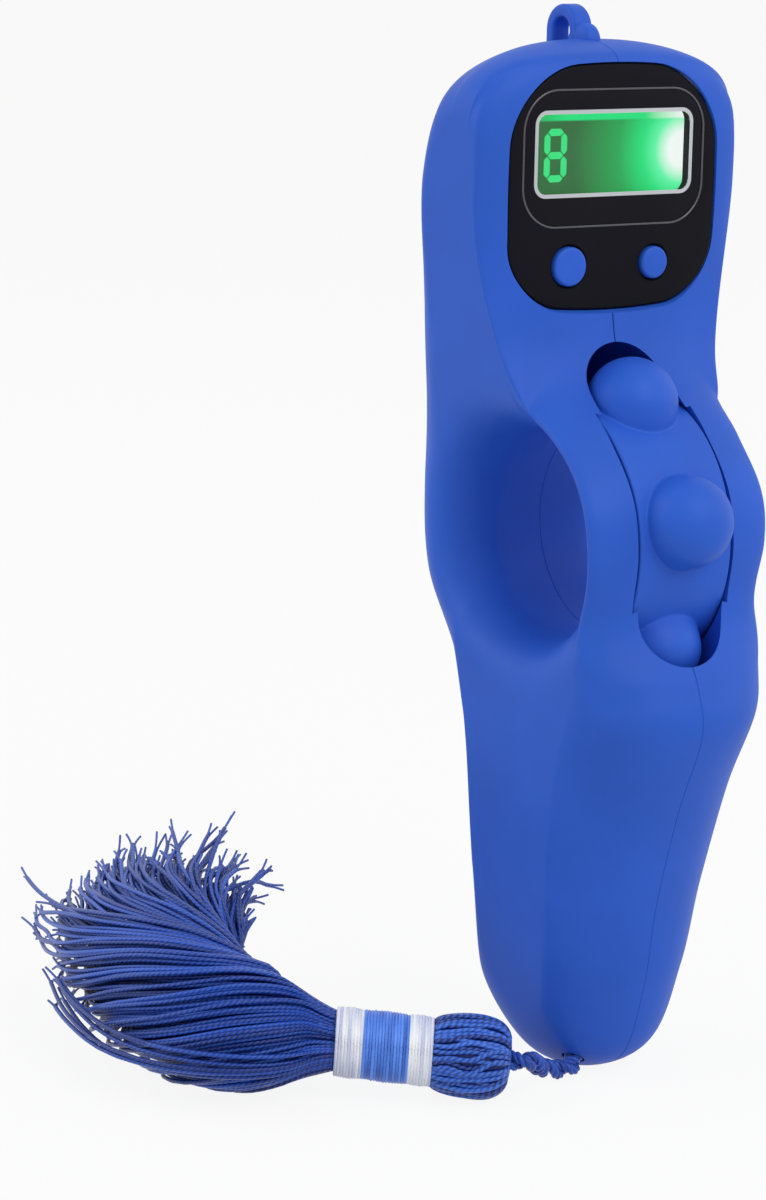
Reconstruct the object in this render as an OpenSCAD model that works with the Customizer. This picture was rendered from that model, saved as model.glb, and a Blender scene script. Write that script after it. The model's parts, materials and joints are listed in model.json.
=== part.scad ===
// Hand tally counter: a two-part case with a finger hole, a bead wheel round the hole,
// a lit display with two buttons, and a tassel.
// X runs across the counter, Y from front to back and Z up. The case splits on the plane X = 0.
// Sizes are in millimetres. Modules work from the finger hole's centre and are then placed on the floor.

/* [Bead wheel] */
// Radius of the finger hole
hole_r = 11.5; // [10.5:0.1:12.5]
// Wall of the tube round the finger hole
tube_wall = 1; // [0.8:0.1:1.5]
// Running gap between the tube and the wheel
run_gap = 0.08; // [0.04:0.01:0.1]
// Thickness of the wheel's band
band_t = 2.6; // [2.2:0.1:3.2]
// Width of the wheel's band
band_w = 12.2; // [11.6:0.1:13.5]
// Gap between the band's edges and the case
side_gap = 0.3; // [0.2:0.05:0.4]
// Radius of a bead
bead_r = 5.1; // [4.4:0.1:5.5]
// Number of beads
bead_count = 6; // [5:1:7]
// Room round the beads inside the case
bead_gap = 0.6; // [0.4:0.1:0.9]
// Angle of the first bead above the front
bead_turn = 12; // [0:1:59]
// Depth of the click dimples in the wheel's side
dimple_depth = 0.5; // [0.3:0.1:0.7]

/* [Case] */
// Wall behind the beads
case_wall = 2; // [1.6:0.1:2.6]
// Thickness of the cheeks beside the wheel
cheek_t = 5.9; // [5.2:0.1:7]
// How far the head's face stands in front of the finger hole's axis
head_front = 0.8; // [0.5:0.1:1.5]
// Depth of the head
head_depth = 17.8; // [17:0.1:19]
// Margin of the head beside the bezel
head_margin = 3.6; // [3.4:0.1:6]
// Height of the case above the bezel
brow = 1.9; // [1.7:0.1:4]
// Length of the grip below the beads
grip_h = 40.5; // [38:0.1:46]
// Width of the grip at its lower end
tail_w = 15.6; // [14:0.2:20]
// Height that is cut flat at the bottom
foot_cut = 0.6; // [0.4:0.1:1]
// Width of the soft flare round the finger hole
rim_flare = 7; // [5:0.5:8]

/* [Display] */
// Width of the display glass
glass_w = 23.4; // [22.6:0.1:25]
// Height of the display glass
glass_h = 12.6; // [11.8:0.1:14]
// Thickness of the display glass
glass_t = 1.4; // [1.1:0.1:1.6]
// How far the lens reaches past the glass at its sides
lens_side = 0.3; // [0.2:0.05:0.6]
// How far the lens reaches past the glass above and below
lens_edge = 1; // [0.8:0.1:1.4]
// Thickness of the lens
lens_t = 0.9; // [0.7:0.1:1.1]
// Room beside the glass in the bay behind the bezel
bay_side = 0.9; // [0.8:0.1:1.4]
// Ledge that the bezel rests on
ledge = 1.2; // [1:0.1:1.5]
// Strip of the bezel above the lens
lens_drop = 3; // [2.8:0.1:3.6]
// Strip of the bezel below the lens, which holds the buttons
button_strip = 9; // [8.6:0.1:10]
// Corner radius of the bezel
bezel_round = 8; // [6:0.5:8]
// Thickness of the bezel
bezel_t = 1.8; // [1.6:0.1:2.4]
// How deep the bezel sits in the case
bezel_sink = 0.5; // [0.4:0.1:0.7]
// Thickness of the light guide
guide_t = 1.4; // [1:0.1:1.6]
// Thickness of the circuit board
board_t = 1; // [0.8:0.1:1.2]
// Gap round parts that are fitted into each other
fit_gap = 0.12; // [0.08:0.01:0.2]

/* [Buttons] */
// Radius of the light button
light_r = 2.2; // [1.8:0.1:2.5]
// Radius of the reset button
reset_r = 1.8; // [1.5:0.1:2.5]
// Distance between the buttons
button_pitch = 11.3; // [10:0.1:13]
// How far a button stands out of the bezel
button_out = 0.9; // [0.6:0.1:1.2]
// Travel of a button
button_travel = 0.8; // [0.5:0.1:0.8]

/* [Battery] */
// Radius of a button cell
cell_r = 5.8; // [5:0.1:5.8]
// Thickness of a button cell
cell_t = 5.4; // [4.2:0.1:5.4]
// How far the battery door reaches past the cells at the sides
door_side = 0.4; // [0.2:0.1:0.6]
// Height of the battery door below the cells, which holds its screw
door_tab = 7; // [6.4:0.1:7.6]

/* [Lug and tassel] */
// Thickness of the lug
lug_t = 2.4; // [2:0.1:3.4]
// Outer radius of the lug
lug_r = 2.8; // [2.6:0.1:3.4]
// Radius of the lug's eye
eye_r = 1.4; // [1.2:0.1:1.7]
// Diameter of the tassel's cord
cord_d = 1.8; // [1.4:0.1:2]
// Diameter of the tassel's knob
knob_d = 9.4; // [8:0.1:10]
// Diameter of the tassel's binding
binding_d = 8.2; // [7:0.1:9]

/* [Hidden] */
$fn = 96;

// Colours of the finishes
case_blue = "#3A62C4";
wheel_blue = "#3D66CC";
bezel_black = "#15161A";
thread_blue = "#1F3F9C";
thread_white = "#D9DEEA";
steel = "#B9BDC4";

// Radii about the finger hole's axis
tube_r = hole_r + tube_wall;
bore_r = tube_r + run_gap;
ring_r = bore_r + band_t;
bead_top = ring_r + bead_r + bead_gap;
back_r = bead_top + case_wall;
lip = 0.1;
skin_r = ring_r + lip;
slot_w = band_w + 2 * side_gap;

// Main places of the case, from the finger hole's centre
ring_w = slot_w + 2 * cheek_t;
lens_w = glass_w + 2 * lens_side;
lens_h = glass_h + 2 * lens_edge;
bay_w = glass_w + 2 * bay_side;
bezel_w = bay_w + 2 * ledge;
bezel_h = lens_drop + lens_h + button_strip;
bezel_rise = 3.4;
head_w = bezel_w + 2 * head_margin;
head_back = head_depth - head_front;
head_top = bead_top + bezel_rise + bezel_h + brow;
tail_z = bead_top + grip_h;
chin_y = ring_r + 3.8;
grip_back = 13.5;
grip_front = 10.4;
hole_z = tail_z - foot_cut;
hole_y = (ring_r * cos(bead_turn) + bead_r - back_r) / 2;

// Display stack, from the face backwards
bezel_y = bezel_sink - head_front;
bezel_back = bezel_y + bezel_t;
seat_gap = 0.1;
lens_sink = 0.05;
lens_y = bezel_y + lens_sink;
glass_y = bezel_back + seat_gap;
guide_y = glass_y + glass_t;
board_space = 0.2;
board_y = guide_y + guide_t + board_space;
board_back = board_y + board_t;
dome_t = 0.3;
bay_h = bezel_h - 2 * ledge;
bay_corner = 3.2;
bay_round = bezel_round - bay_corner;
bay_space = 2.1;
bay_back = board_back + bay_space;
bezel_z = bead_top + bezel_rise + bezel_h / 2;
lens_z = bezel_z + bezel_h / 2 - lens_drop - lens_h / 2;
view_rise = 0.5;
view_z = lens_z + view_rise;
view_side = 1.5;
view_edge = 2;
view_w = glass_w - 2 * view_side;
view_h = glass_h - 2 * view_edge;
view_margin = 0.5;
button_rise = 4.8;
button_z = bezel_z - bezel_h / 2 + button_rise;

// Battery stack behind the board
contact_t = 1.1;
cell_y = board_back + contact_t;
cell_gap = 0.4;
cell_rise = 1.6;
cell_z = bezel_z + cell_rise;
bridge_t = 0.2;
door_y = cell_y + cell_t + bridge_t;
door_over = 1.6;
door_w = 4 * cell_r + 3 * cell_gap + 2 * door_side;
door_h = door_over + 2 * cell_r + door_tab;
door_z = cell_z + cell_r + door_over - door_h / 2;
door_gap = 0.15;
door_screw_x = 6;
door_screw_rise = 3.4;
door_screw_z = door_z - door_h / 2 + door_screw_rise;
door_round = 3;
door_hollow = 1.3;

// Screws: radius of head and shank, gap round them
head_r = 1.7;
shank_r = 0.9;
screw_gap = 0.2;
pilot_gap = 0.02;
screw_seat = 4.5;
screw_head_t = 1.3;
pilot_depth = 7;
case_screw_reach = 10;
door_screw_reach = 4.5;
drive_w = 0.5;
case_screw_places = [[9.7, head_top - 5.2], [back_r - 8.4, bead_top + 1.6],
    [-9, -bead_top - 4.6], [7, 11 - tail_z]];

// Click catch in the right cheek: angle of its nose round the wheel, sizes of the leaf
click_turn = 240;
click_r = ring_r - 1.3;
leaf_t = 0.3;
leaf_w = 2;
leaf_l = 11;
nose_r = 0.8;
leaf_x = slot_w / 2 + 0.35;

// Lug
lug_y = 8.6;
eye_z = head_top + 0.9;

// Tassel: points of the cord from its knot in the case to the knob, then the knob's place and direction
cord_room = 0.35;
knot_r = 1.9;
knot_room = 0.3;
cord_points = [[-3, -1, 6.3], [-3.9, -2.7, 3.95], [-4.8, -4.4, 1.6], [-6.2, -4.8, 1], [-8.2, -4.8, 1.4],
    [-10.2, -5.6, 2.2], [-11.8, -7, 3.2], [-13, -7.9, 4], [-14.3, -8.05, 4.25], [-15.6, -7.15, 4.4]];
knob_at = [-19.1, -4.75, 4.75];
knob_turn = 145;
knob_lift = 5;
knob_way = [cos(knob_turn) * cos(knob_lift), sin(knob_turn) * cos(knob_lift), sin(knob_lift)];
knob_l = 8.4;
white_l = 2.6;
blue_l = 5;
tail_white_l = 3;

// Resolution of the lofted case: steps between rim stations, points along a spoke
rim_steps = 3;
spoke_steps = 13;
seam_flat = 0.3;

function mix(a, b, t) = a + (b - a) * t;
function clamp01(t) = max(0, min(1, t));
function ease(t) = clamp01(t) * clamp01(t) * (3 - 2 * clamp01(t));
function polar(r, a) = [-r * cos(a), r * sin(a)];

// Half width of the case at a height: it swells from the tail to the wheel, then to the head
swell_z = 5;
function half_width(z) = z < swell_z
    ? mix(tail_w, ring_w, sin(90 * clamp01((z + tail_z) / (tail_z - 8)))) / 2
    : mix(ring_w, head_w, ease((z - swell_z) / (bead_top + 17 - swell_z))) / 2;

// Rim stations round the side outline: Y and Z, angle where the spoke leaves the finger hole,
// depth of the edge's rounding, how square that rounding is, and how far in the spoke turns
soft = 2.2;
back = 2.6;
face = 5;
arm = 9;
rim = [
    concat(polar(skin_r, 0), [0, 2.8, soft, arm]),
    concat(polar(skin_r, 24), [24, 2.6, soft, arm]),
    concat(polar(skin_r, 52), [50, 3.5, soft, arm]),
    [-head_front - 2.4, bead_top - 3.2, 68, 5, 2.6, 2],
    [-head_front - 0.1, bead_top + 2.8, 80, 6, 4, 2],
    [-head_front, bead_top + 13, 88, 6, face, 4],
    [-head_front, head_top - 8.4, 95, 6, face, 3.5],
    [0.2 - head_front, head_top - 2.6, 99, 8, 3, 4],
    [1.5, head_top - 0.6, 102, 8, 2.7, 5],
    [6.2, head_top, 107, 8.6, 2.3, 6],
    [11.6, head_top - 2.8, 113, 9, 2.5, 7],
    [head_back - 1.4, head_top - 9.8, 121, 10, back, arm],
    [head_back + 0.6, bead_top + 11, 132, 11, back, arm],
    [back_r - 2, bead_top - 3, 150, 11, back, arm],
    [back_r, 4, 172, 11, back, arm],
    concat(polar(back_r, 201), [196, 11, back, arm]),
    [back_r - 8.6, 1 - bead_top, 218, 11, 2.4, arm],
    [grip_back - 0.8, -bead_top - 12, 234, 11, soft, arm],
    [grip_back, -bead_top - 24, 247, 11, soft, arm],
    [grip_back - 1.6, 6.2 - tail_z, 258, 9, soft, arm],
    [3, -tail_z, 268, 8, soft, arm],
    [-6.5, 2.4 - tail_z, 276, 8.5, soft, arm],
    [-grip_front, 11.4 - tail_z, 284, 9.5, soft, arm],
    [-grip_front - 1.8, -bead_top - 19, 293, 9.5, soft, arm],
    [3.5 - chin_y, -bead_top - 7.6, 305, 10, soft, arm],
    [-chin_y, 1.4 - bead_top, 316, 9, soft, arm],
    [1.1 - chin_y, 6.9 - bead_top, 325, 7, soft, arm],
    [0.6 - skin_r, -skin_r / 2, 338, 4.5, soft, arm],
];
rim_n = len(rim);
full_turn = [0, 0, 360, 0, 0, 0];
function rim_at(i) = i < 0 ? rim[i + rim_n] - full_turn
    : i >= rim_n ? rim[i - rim_n] + full_turn : rim[i];

// Smooth curve through four neighbours, and its slope
function spline(p, t) = 0.5 * (2 * p[1] + (p[2] - p[0]) * t + (2 * p[0] - 5 * p[1] + 4 * p[2] - p[3]) * t * t
    + (3 * p[1] - p[0] - 3 * p[2] + p[3]) * t * t * t);
function slope(p, t) = 0.5 * ((p[2] - p[0]) + 2 * (2 * p[0] - 5 * p[1] + 4 * p[2] - p[3]) * t
    + 3 * (3 * p[1] - p[0] - 3 * p[2] + p[3]) * t * t);
function unit(v) = v / norm(v);

// A quarter of a superellipse: 0 at the edge, 1 from the depth of the rounding inwards
function rounding(d, depth, power) = pow(1 - pow(1 - clamp01(d / depth), power), 1 / power);

// One spoke of the case, from the finger hole out to the rim: it leaves the hole straight,
// meets the rim square, and its height above the middle plane rounds off at both ends
land = 0.4;
flare_power = 3;
function spoke(row, run) =
    let (way = polar(1, row[2]), start = (hole_r - land) * way, end = [row[0], row[1]],
        out = unit([-run[1], run[0]]), span = norm(end - start), flare = min(rim_flare, span / 2),
        near = start + way * span * 0.35, far = end - out * min(span * 0.4, row[5]))
    [for (k = [0 : spoke_steps - 1])
        let (t = (1 - cos(180 * k / (spoke_steps - 1))) / 2, s = 1 - t,
            q = s * s * s * start + 3 * t * s * s * near + 3 * t * t * s * far + t * t * t * end,
            h = half_width(q[1]) * rounding(norm(q) - hole_r + land, flare, flare_power)
                * rounding(norm(end - q), min(row[3], span), row[4]))
        [max(h, seam_flat), q[0], q[1]]];

// The whole case as one closed loop of loops: up the left side of each spoke and back down the right
case_loops = [for (i = [0 : rim_n - 1]) for (k = [0 : rim_steps - 1])
    let (p = [rim_at(i - 1), rim_at(i), rim_at(i + 1), rim_at(i + 2)], t = k / rim_steps,
        side = spoke(spline(p, t), slope(p, t)))
    concat([for (v = side) [-v[0], v[1], v[2]]], [for (k = [spoke_steps - 1 : -1 : 0]) side[k]])];

// Triangles between neighbouring loops of equal length, closed both ways
function loop_faces(n, m) = [for (i = [0 : n - 1]) for (j = [0 : m - 1])
    let (a = i * m + j, b = (i + 1) % n * m + j, c = (i + 1) % n * m + (j + 1) % m, d = i * m + (j + 1) % m)
    each [[a, b, c], [a, c, d]]];

module case_body()
    polyhedron([for (l = case_loops) each l], loop_faces(rim_n * rim_steps, 2 * spoke_steps), convexity = 8);

// How far a cutter runs past the piece that it cuts
past = 1;

// Extrusions along Y and along X, and rods along both
module along_y(y0, y1) translate([0, y1, 0]) rotate([90, 0, 0]) linear_extrude(y1 - y0) children();
module along_x(x0, x1) translate([x0, 0, 0]) rotate([90, 0, 90]) linear_extrude(x1 - x0) children();
module rod_y(x, z, y0, y1, r) translate([x, y0, z]) rotate([-90, 0, 0]) cylinder(r = r, h = y1 - y0);
module rod_x(y, z, x0, x1, r) translate([x0, y, z]) rotate([0, 90, 0]) cylinder(r = r, h = x1 - x0);
module placed() translate([0, hole_y, hole_z]) children();

module rounded(w, h, r) {
    square([w - 2 * r, h], center = true);
    square([w, h - 2 * r], center = true);
    for (x = [-1, 1]) for (y = [-1, 1]) translate([x * (w / 2 - r), y * (h / 2 - r)]) circle(r);
}

// Rectangle with its corners cut off
module cut_corners(w, h, c) polygon([for (s = [[1, -1], [1, 1], [-1, 1], [-1, -1]])
    each s[0] * s[1] < 0 ? [[s[0] * (w / 2 - c), s[1] * h / 2], [s[0] * w / 2, s[1] * (h / 2 - c)]]
        : [[s[0] * w / 2, s[1] * (h / 2 - c)], [s[0] * (w / 2 - c), s[1] * h / 2]]]);

// Space that the turning wheel needs: a slot for the band and a round channel for the beads
slot_over = 0.5;
module wheel_room() rotate([0, 90, 0]) difference() {
    union() {
        cylinder(r = ring_r + slot_over, h = slot_w, center = true);
        rotate_extrude() translate([ring_r, 0]) circle(bead_r + bead_gap);
    }
    cylinder(r = tube_r, h = 3 * slot_w, center = true);
}

// Pocket for the bezel, bay for the display and board, bay for the cells, opening for the door
module head_rooms() {
    far = head_w;
    translate([0, 0, bezel_z]) along_y(-far, bezel_back)
        rounded(bezel_w + 2 * fit_gap, bezel_h + 2 * fit_gap, bezel_round);
    translate([0, 0, bezel_z]) along_y(bezel_y, bay_back) rounded(bay_w, bay_h, bay_round);
    translate([0, 0, cell_z]) along_y(board_back, door_y)
        rounded(4 * cell_r + 3 * cell_gap, 2 * (cell_r + cell_gap), cell_r + cell_gap / 2);
    translate([0, 0, door_z]) along_y(door_y, far)
        cut_corners(door_w + 2 * door_gap, door_h + 2 * door_gap, door_round);
    rod_y(door_screw_x, door_screw_z, door_y + door_hollow - door_screw_reach - 2 * screw_gap, door_y + past,
        shank_r + pilot_gap);
}

// Hollow in the grip, room for the cord's knot, and the cord's way out
grip_room_r = 5;
grip_room_depth = 6;
grip_room_top = [3, -bead_top - 10.4];
grip_room_low = [-1, 15 - tail_z];
module grip_rooms() {
    along_x(-grip_room_depth, grip_room_depth) {
        translate(grip_room_top) circle(grip_room_r);
        translate(grip_room_low) circle(grip_room_r);
        polygon([for (s = [-1, 1])
            for (p = s < 0 ? [grip_room_top, grip_room_low] : [grip_room_low, grip_room_top])
            let (u = unit(grip_room_top - grip_room_low)) p + s * grip_room_r * [-u[1], u[0]]]);
    }
    knot = cord_points[0] - [0, 0, hole_z];
    rod_x(knot[1], knot[2] + knot_r / 2, knot[0] - knot_r - knot_room, grip_room_depth / 2,
        knot_r + knot_room);
    cord_hole();
}

// Straight hole along the first stretch of the cord
module cord_hole() {
    from = cord_points[0];
    to = cord_points[2];
    way = to - from;
    translate(from - [0, 0, hole_z]) rotate([0, acos(way[2] / norm(way)), atan2(way[1], way[0])])
        cylinder(r = cord_d / 2 + cord_room, h = 2 * norm(way));
}

// Bay in the right cheek for the click catch and its switch
click_bay_depth = 2.9;
leaf_room = 0.5;
module click_bay() rotate([click_turn, 0, 0])
    translate([slot_w / 2 - leaf_t, -leaf_l / 2 - leaf_room, click_r - leaf_w])
        cube([click_bay_depth + leaf_t, leaf_l + 2 * leaf_room, 2 * leaf_w]);

module case_rooms() {
    rotate([0, 90, 0]) cylinder(r = hole_r, h = 4 * ring_w, center = true);
    wheel_room();
    head_rooms();
    grip_rooms();
    translate([-head_w, -2 * back_r, -2 * hole_z]) cube([2 * head_w, 4 * back_r, hole_z]);
}

// Half of the loop lug, standing on the head: an arch with a lower foot in front
lug_root = 3;
lug_foot_r = 2;
lug_foot_sink = 0.2;
module lug_half(x0, x1) along_x(x0, x1) difference() {
    union() {
        translate([lug_y, eye_z]) circle(lug_r);
        translate([lug_y - lug_r, head_top - lug_root]) square([2 * lug_r, eye_z - head_top + lug_root]);
        translate([lug_y - lug_r, head_top - lug_foot_sink]) circle(lug_foot_r);
    }
    translate([lug_y, eye_z]) circle(eye_r);
}

module half_space(side) translate([side < 0 ? -2 * head_w : 0, -2 * tail_z, -2 * tail_z])
    cube([2 * head_w, 4 * tail_z, 4 * tail_z]);

module left_shell() color(case_blue) placed() difference() {
    union() {
        intersection() {
            case_body();
            half_space(-1);
        }
        lug_half(-lug_t / 2, 0);
    }
    case_rooms();
    for (p = case_screw_places) rod_x(p[0], p[1], -pilot_depth, past, shank_r + pilot_gap);
}

module right_shell() color(case_blue) placed() difference() {
    union() {
        intersection() {
            case_body();
            half_space(1);
        }
        lug_half(0, lug_t / 2);
    }
    case_rooms();
    click_bay();
    for (p = case_screw_places) {
        rod_x(p[0], p[1], -past, head_w, shank_r + screw_gap);
        rod_x(p[0], p[1], screw_seat, head_w, head_r + screw_gap);
    }
}

lens_round = 3;
view_round = 1.2;

// Bezel: a plate with a seat for the lens, a display opening and two button holes
module display_bezel() color(bezel_black) placed() difference() {
    translate([0, 0, bezel_z]) along_y(bezel_y, bezel_back) rounded(bezel_w, bezel_h, bezel_round);
    translate([0, 0, lens_z]) along_y(bezel_y - past, lens_y + lens_t)
        rounded(lens_w + 2 * fit_gap, lens_h + 2 * fit_gap, lens_round);
    translate([0, 0, view_z]) along_y(bezel_y - past, bezel_back + past)
        rounded(view_w + 2 * view_margin, view_h + 2 * view_margin, view_round);
    rod_y(-button_pitch / 2, button_z, bezel_y - past, bezel_back + past, light_r + fit_gap);
    rod_y(button_pitch / 2, button_z, bezel_y - past, bezel_back + past, reset_r + fit_gap);
}

module display_lens() color("#20242C") placed()
    translate([0, 0, lens_z]) along_y(lens_y, lens_y + lens_t) rounded(lens_w, lens_h, lens_round);

// Display glass: the front sheet, and a lower back sheet that leaves the contacts free
contact_strip = 1.6;
module lcd_panel() color("#2E8B45") placed() {
    translate([0, 0, view_z]) along_y(glass_y, glass_y + glass_t / 2)
        square([glass_w, glass_h], center = true);
    translate([0, 0, view_z + contact_strip / 2]) along_y(glass_y + glass_t / 2, guide_y)
        square([glass_w, glass_h - contact_strip], center = true);
}

guide_w = glass_w - 2.4;
guide_h = glass_h - contact_strip - 0.4;
module backlight_plate() color("#E8F5E4") placed()
    translate([0, 0, view_z + contact_strip / 2]) along_y(guide_y, guide_y + guide_t)
        square([guide_w, guide_h], center = true);

// Lamp at the right end of the light guide
led_w = 1.2;
led_h = 2.8;
led_gap = 0.05;
module backlight_led() color("#F4F7EA") placed()
    translate([guide_w / 2 + 2 * led_gap, guide_y + led_gap, view_z + contact_strip / 2 - led_h / 2])
        cube([led_w, board_y - guide_y - led_gap, led_h]);

zebra_w = glass_w - 2;
zebra_h = 1.1;
module zebra_strip() color("#3B3F46") placed()
    translate([-zebra_w / 2, glass_y + glass_t / 2, view_z - glass_h / 2 + (contact_strip - zebra_h) / 3])
        cube([zebra_w, board_y - glass_y - glass_t / 2, zebra_h]);

// Board with two locating holes
board_gap = 0.3;
peg_r = 0.8;
peg_in = 3.4;
peg_rise = 3.2;
module circuit_board() color("#2F6B3C") placed() difference() {
    translate([0, 0, bezel_z]) along_y(board_y, board_back)
        rounded(bay_w - 2 * board_gap, bay_h - 2 * board_gap, bay_round - board_gap);
    for (x = [-1, 1])
        rod_y(x * (bay_w / 2 - peg_in), bezel_z - bay_h / 2 + peg_rise, board_y - past, board_back + past,
            peg_r);
}

// Drop of resin over the chip, on the board's back below the cells
blob_r = 2.4;
blob_x = -5;
blob_z = button_z + 0.6;
module chip_blob() color("#17181B") placed() intersection() {
    translate([blob_x, board_back - blob_r / 2, blob_z]) sphere(blob_r);
    translate([blob_x - blob_r, board_back, blob_z - blob_r]) cube(2 * blob_r);
}

dome_r = 2;
module button_domes() color(steel) placed() for (x = [-1, 1])
    rod_y(x * button_pitch / 2, button_z, board_y - dome_t, board_y, dome_r);

// Button: domed cap, neck through the bezel, flange behind it and a stem down to its dome
flange_t = 0.6;
flange_out = 0.7;
stem_r = 1.1;
cap_round = 0.5;
stem_gap = 0.1;
module button(r) rotate([-90, 0, 0]) {
    cap = bezel_y - button_out;
    translate([0, 0, cap]) rotate_extrude() {
        square([r - cap_round, cap_round]);
        translate([0, cap_round]) square([r, bezel_back + seat_gap - cap - cap_round]);
        translate([r - cap_round, cap_round]) circle(cap_round);
    }
    translate([0, 0, bezel_back + seat_gap]) cylinder(r = r + flange_out, h = flange_t);
    translate([0, 0, bezel_back])
        cylinder(r = stem_r, h = board_y - dome_t - button_travel - stem_gap - bezel_back);
}
module light_button() color(case_blue) placed() translate([-button_pitch / 2, 0, button_z]) button(light_r);
module reset_button() color(case_blue) placed() translate([button_pitch / 2, 0, button_z]) button(reset_r);

// Wheel: a band with beads round it, and click dimples in its right side, one for each bead
dimple_r = 1.1;
module bead_wheel() color(wheel_blue) placed() difference() {
    union() {
        rotate([0, 90, 0]) cylinder(r = ring_r, h = band_w, center = true);
        for (i = [0 : bead_count - 1]) rotate([-bead_turn - i * 360 / bead_count, 0, 0])
            translate([0, -ring_r, 0]) sphere(bead_r);
    }
    rotate([0, 90, 0]) cylinder(r = bore_r, h = 3 * band_w, center = true);
    for (i = [0 : bead_count - 1]) rotate([click_turn + i * 360 / bead_count, 0, 0])
        translate([band_w / 2 + dimple_r - dimple_depth, 0, click_r]) sphere(dimple_r);
}

// Leaf spring with a nose that clicks into the dimples
module click_spring() color(steel) placed() rotate([click_turn, 0, 0]) {
    translate([leaf_x, -leaf_l / 2, click_r - leaf_w / 2]) cube([leaf_t, leaf_l, leaf_w]);
    intersection() {
        translate([leaf_x + leaf_t / 2, 0, click_r]) sphere(nose_r);
        translate([leaf_x - nose_r, -nose_r, click_r - nose_r])
            cube([nose_r + leaf_t / 2, 2 * nose_r, 2 * nose_r]);
    }
}

switch_l = 4;
switch_w = 3.2;
switch_gap = 0.2;
module count_switch() color("#23252A") placed() rotate([click_turn, 0, 0])
    translate([leaf_x + leaf_t + switch_gap, -switch_l / 2, click_r - switch_w / 2])
        cube([slot_w / 2 + click_bay_depth - leaf_x - leaf_t - 1.5 * switch_gap, switch_l, switch_w]);

module battery_cells() color("#C9CCD1") placed() for (x = [-1, 1])
    rod_y(x * (cell_r + cell_gap / 2), cell_z, cell_y, cell_y + cell_t, cell_r);

// Bent contact leaves between the board and the cells
contact_w = 3;
contact_h = 5;
contact_s = 0.3;
contact_gap = 0.1;
module battery_contacts() color("#C8B98A") placed() for (x = [-1, 1])
    translate([x * (cell_r + cell_gap / 2) - contact_w / 2, board_back, cell_z]) {
        translate([0, 0, -contact_h / 2]) cube([contact_w, contact_s, contact_h]);
        translate([0, 0, contact_w / 2]) cube([contact_w, contact_t - contact_gap, contact_s]);
        translate([0, contact_t - contact_gap - contact_s, -contact_w / 2])
            cube([contact_w, contact_s, contact_w + contact_s]);
    }

// Strip that joins the two cells, carried on the door's inside
bridge_w = 4;
module contact_bridge() color("#C8B98A") placed()
    translate([-cell_r - bridge_w / 2, door_y - bridge_t, cell_z - bridge_w / 2])
        cube([2 * cell_r + bridge_w, bridge_t, bridge_w]);

// Door: a piece of the case's own back, hollowed, with a hole for its screw
module battery_door() color(case_blue) placed() difference() {
    intersection() {
        case_body();
        translate([0, 0, door_z]) along_y(door_y, head_w) cut_corners(door_w, door_h, door_round);
    }
    rod_y(door_screw_x, door_screw_z, door_y - past, head_w, shank_r + screw_gap);
    rod_y(door_screw_x, door_screw_z, door_y + door_hollow, head_w, head_r + screw_gap);
}

module screw(reach) {
    cylinder(r = shank_r, h = reach);
    translate([0, 0, reach]) difference() {
        cylinder(r = head_r, h = screw_head_t);
        for (a = [0, 90]) rotate([0, 0, a])
            translate([-head_r / 2, -drive_w / 2, screw_head_t / 2]) cube([head_r, drive_w, screw_head_t]);
    }
}
module door_screw() color(steel) placed()
    translate([door_screw_x, door_y + door_hollow - door_screw_reach, door_screw_z])
        rotate([-90, 0, 0]) screw(door_screw_reach);

module case_screws() color(steel) placed() for (p = case_screw_places)
    translate([screw_seat - case_screw_reach, p[0], p[1]]) rotate([0, 90, 0]) screw(case_screw_reach);

// Tube swept along points, with round sections square to the path
cord_sides = 8;
function path_way(p, i) = unit(p[min(i + 1, len(p) - 1)] - p[max(i - 1, 0)]);
function ring_at(p, i, r) = let (w = path_way(p, i), a = unit(cross([0, 1, 0], w)), b = cross(w, a))
    [for (k = [0 : cord_sides - 1]) let (t = 360 * k / cord_sides) p[i] + r * (a * cos(t) + b * sin(t))];
function tube_faces(n, m) = concat([[for (j = [0 : m - 1]) j]],
    [for (i = [0 : n - 2]) for (j = [0 : m - 1]) let (a = i * m + j, b = i * m + (j + 1) % m)
        each [[a, a + m, b + m], [a, b + m, b]]],
    [[for (j = [m - 1 : -1 : 0]) (n - 1) * m + j]]);

module tassel_cord() color(thread_blue) translate([0, hole_y, 0]) {
    polyhedron([for (i = [0 : len(cord_points) - 1]) each ring_at(cord_points, i, cord_d / 2)],
        tube_faces(len(cord_points), cord_sides));
    translate(cord_points[0] + [0, 0, knot_r / 2]) sphere(knot_r);
}

// Pieces of the tassel's head are turned about its axis, from the cord outwards
module on_tassel(at) translate(knob_at + [0, hole_y, 0]) rotate([0, -knob_lift, knob_turn])
    translate([at, 0, 0]) rotate([0, 90, 0]) children();

// Barrel: its radius swells from one end to the middle and back
function barrel(l, r0, r, r1) = [for (k = [0 : 10]) let (t = k / 10, e = t < 0.5 ? r0 : r1)
    [e + (r - e) * pow(1 - pow(abs(2 * t - 1), 2.4), 1 / 2.4), l * t]];

knob_lip = 0.6;
module tassel_knob() color(thread_blue) on_tassel(-knob_l / 2) rotate_extrude()
    polygon(concat([[0, 0]], barrel(knob_l, cord_d / 2 + knob_lip, knob_d / 2, binding_d / 2 - knob_lip),
        [[0, knob_l]]));

band_waist = 0.25;
waist_r = binding_d / 2 - band_waist;
module binding_band(at, l) on_tassel(knob_l / 2 + at) rotate_extrude()
    polygon(concat([[0, 0]], barrel(l, waist_r, binding_d / 2, waist_r), [[0, l]]));

module binding_white() color(thread_white) {
    binding_band(0, white_l);
    binding_band(white_l + blue_l, tail_white_l);
}

module binding_blue() color("#3F6FD0") binding_band(white_l, blue_l);

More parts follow.
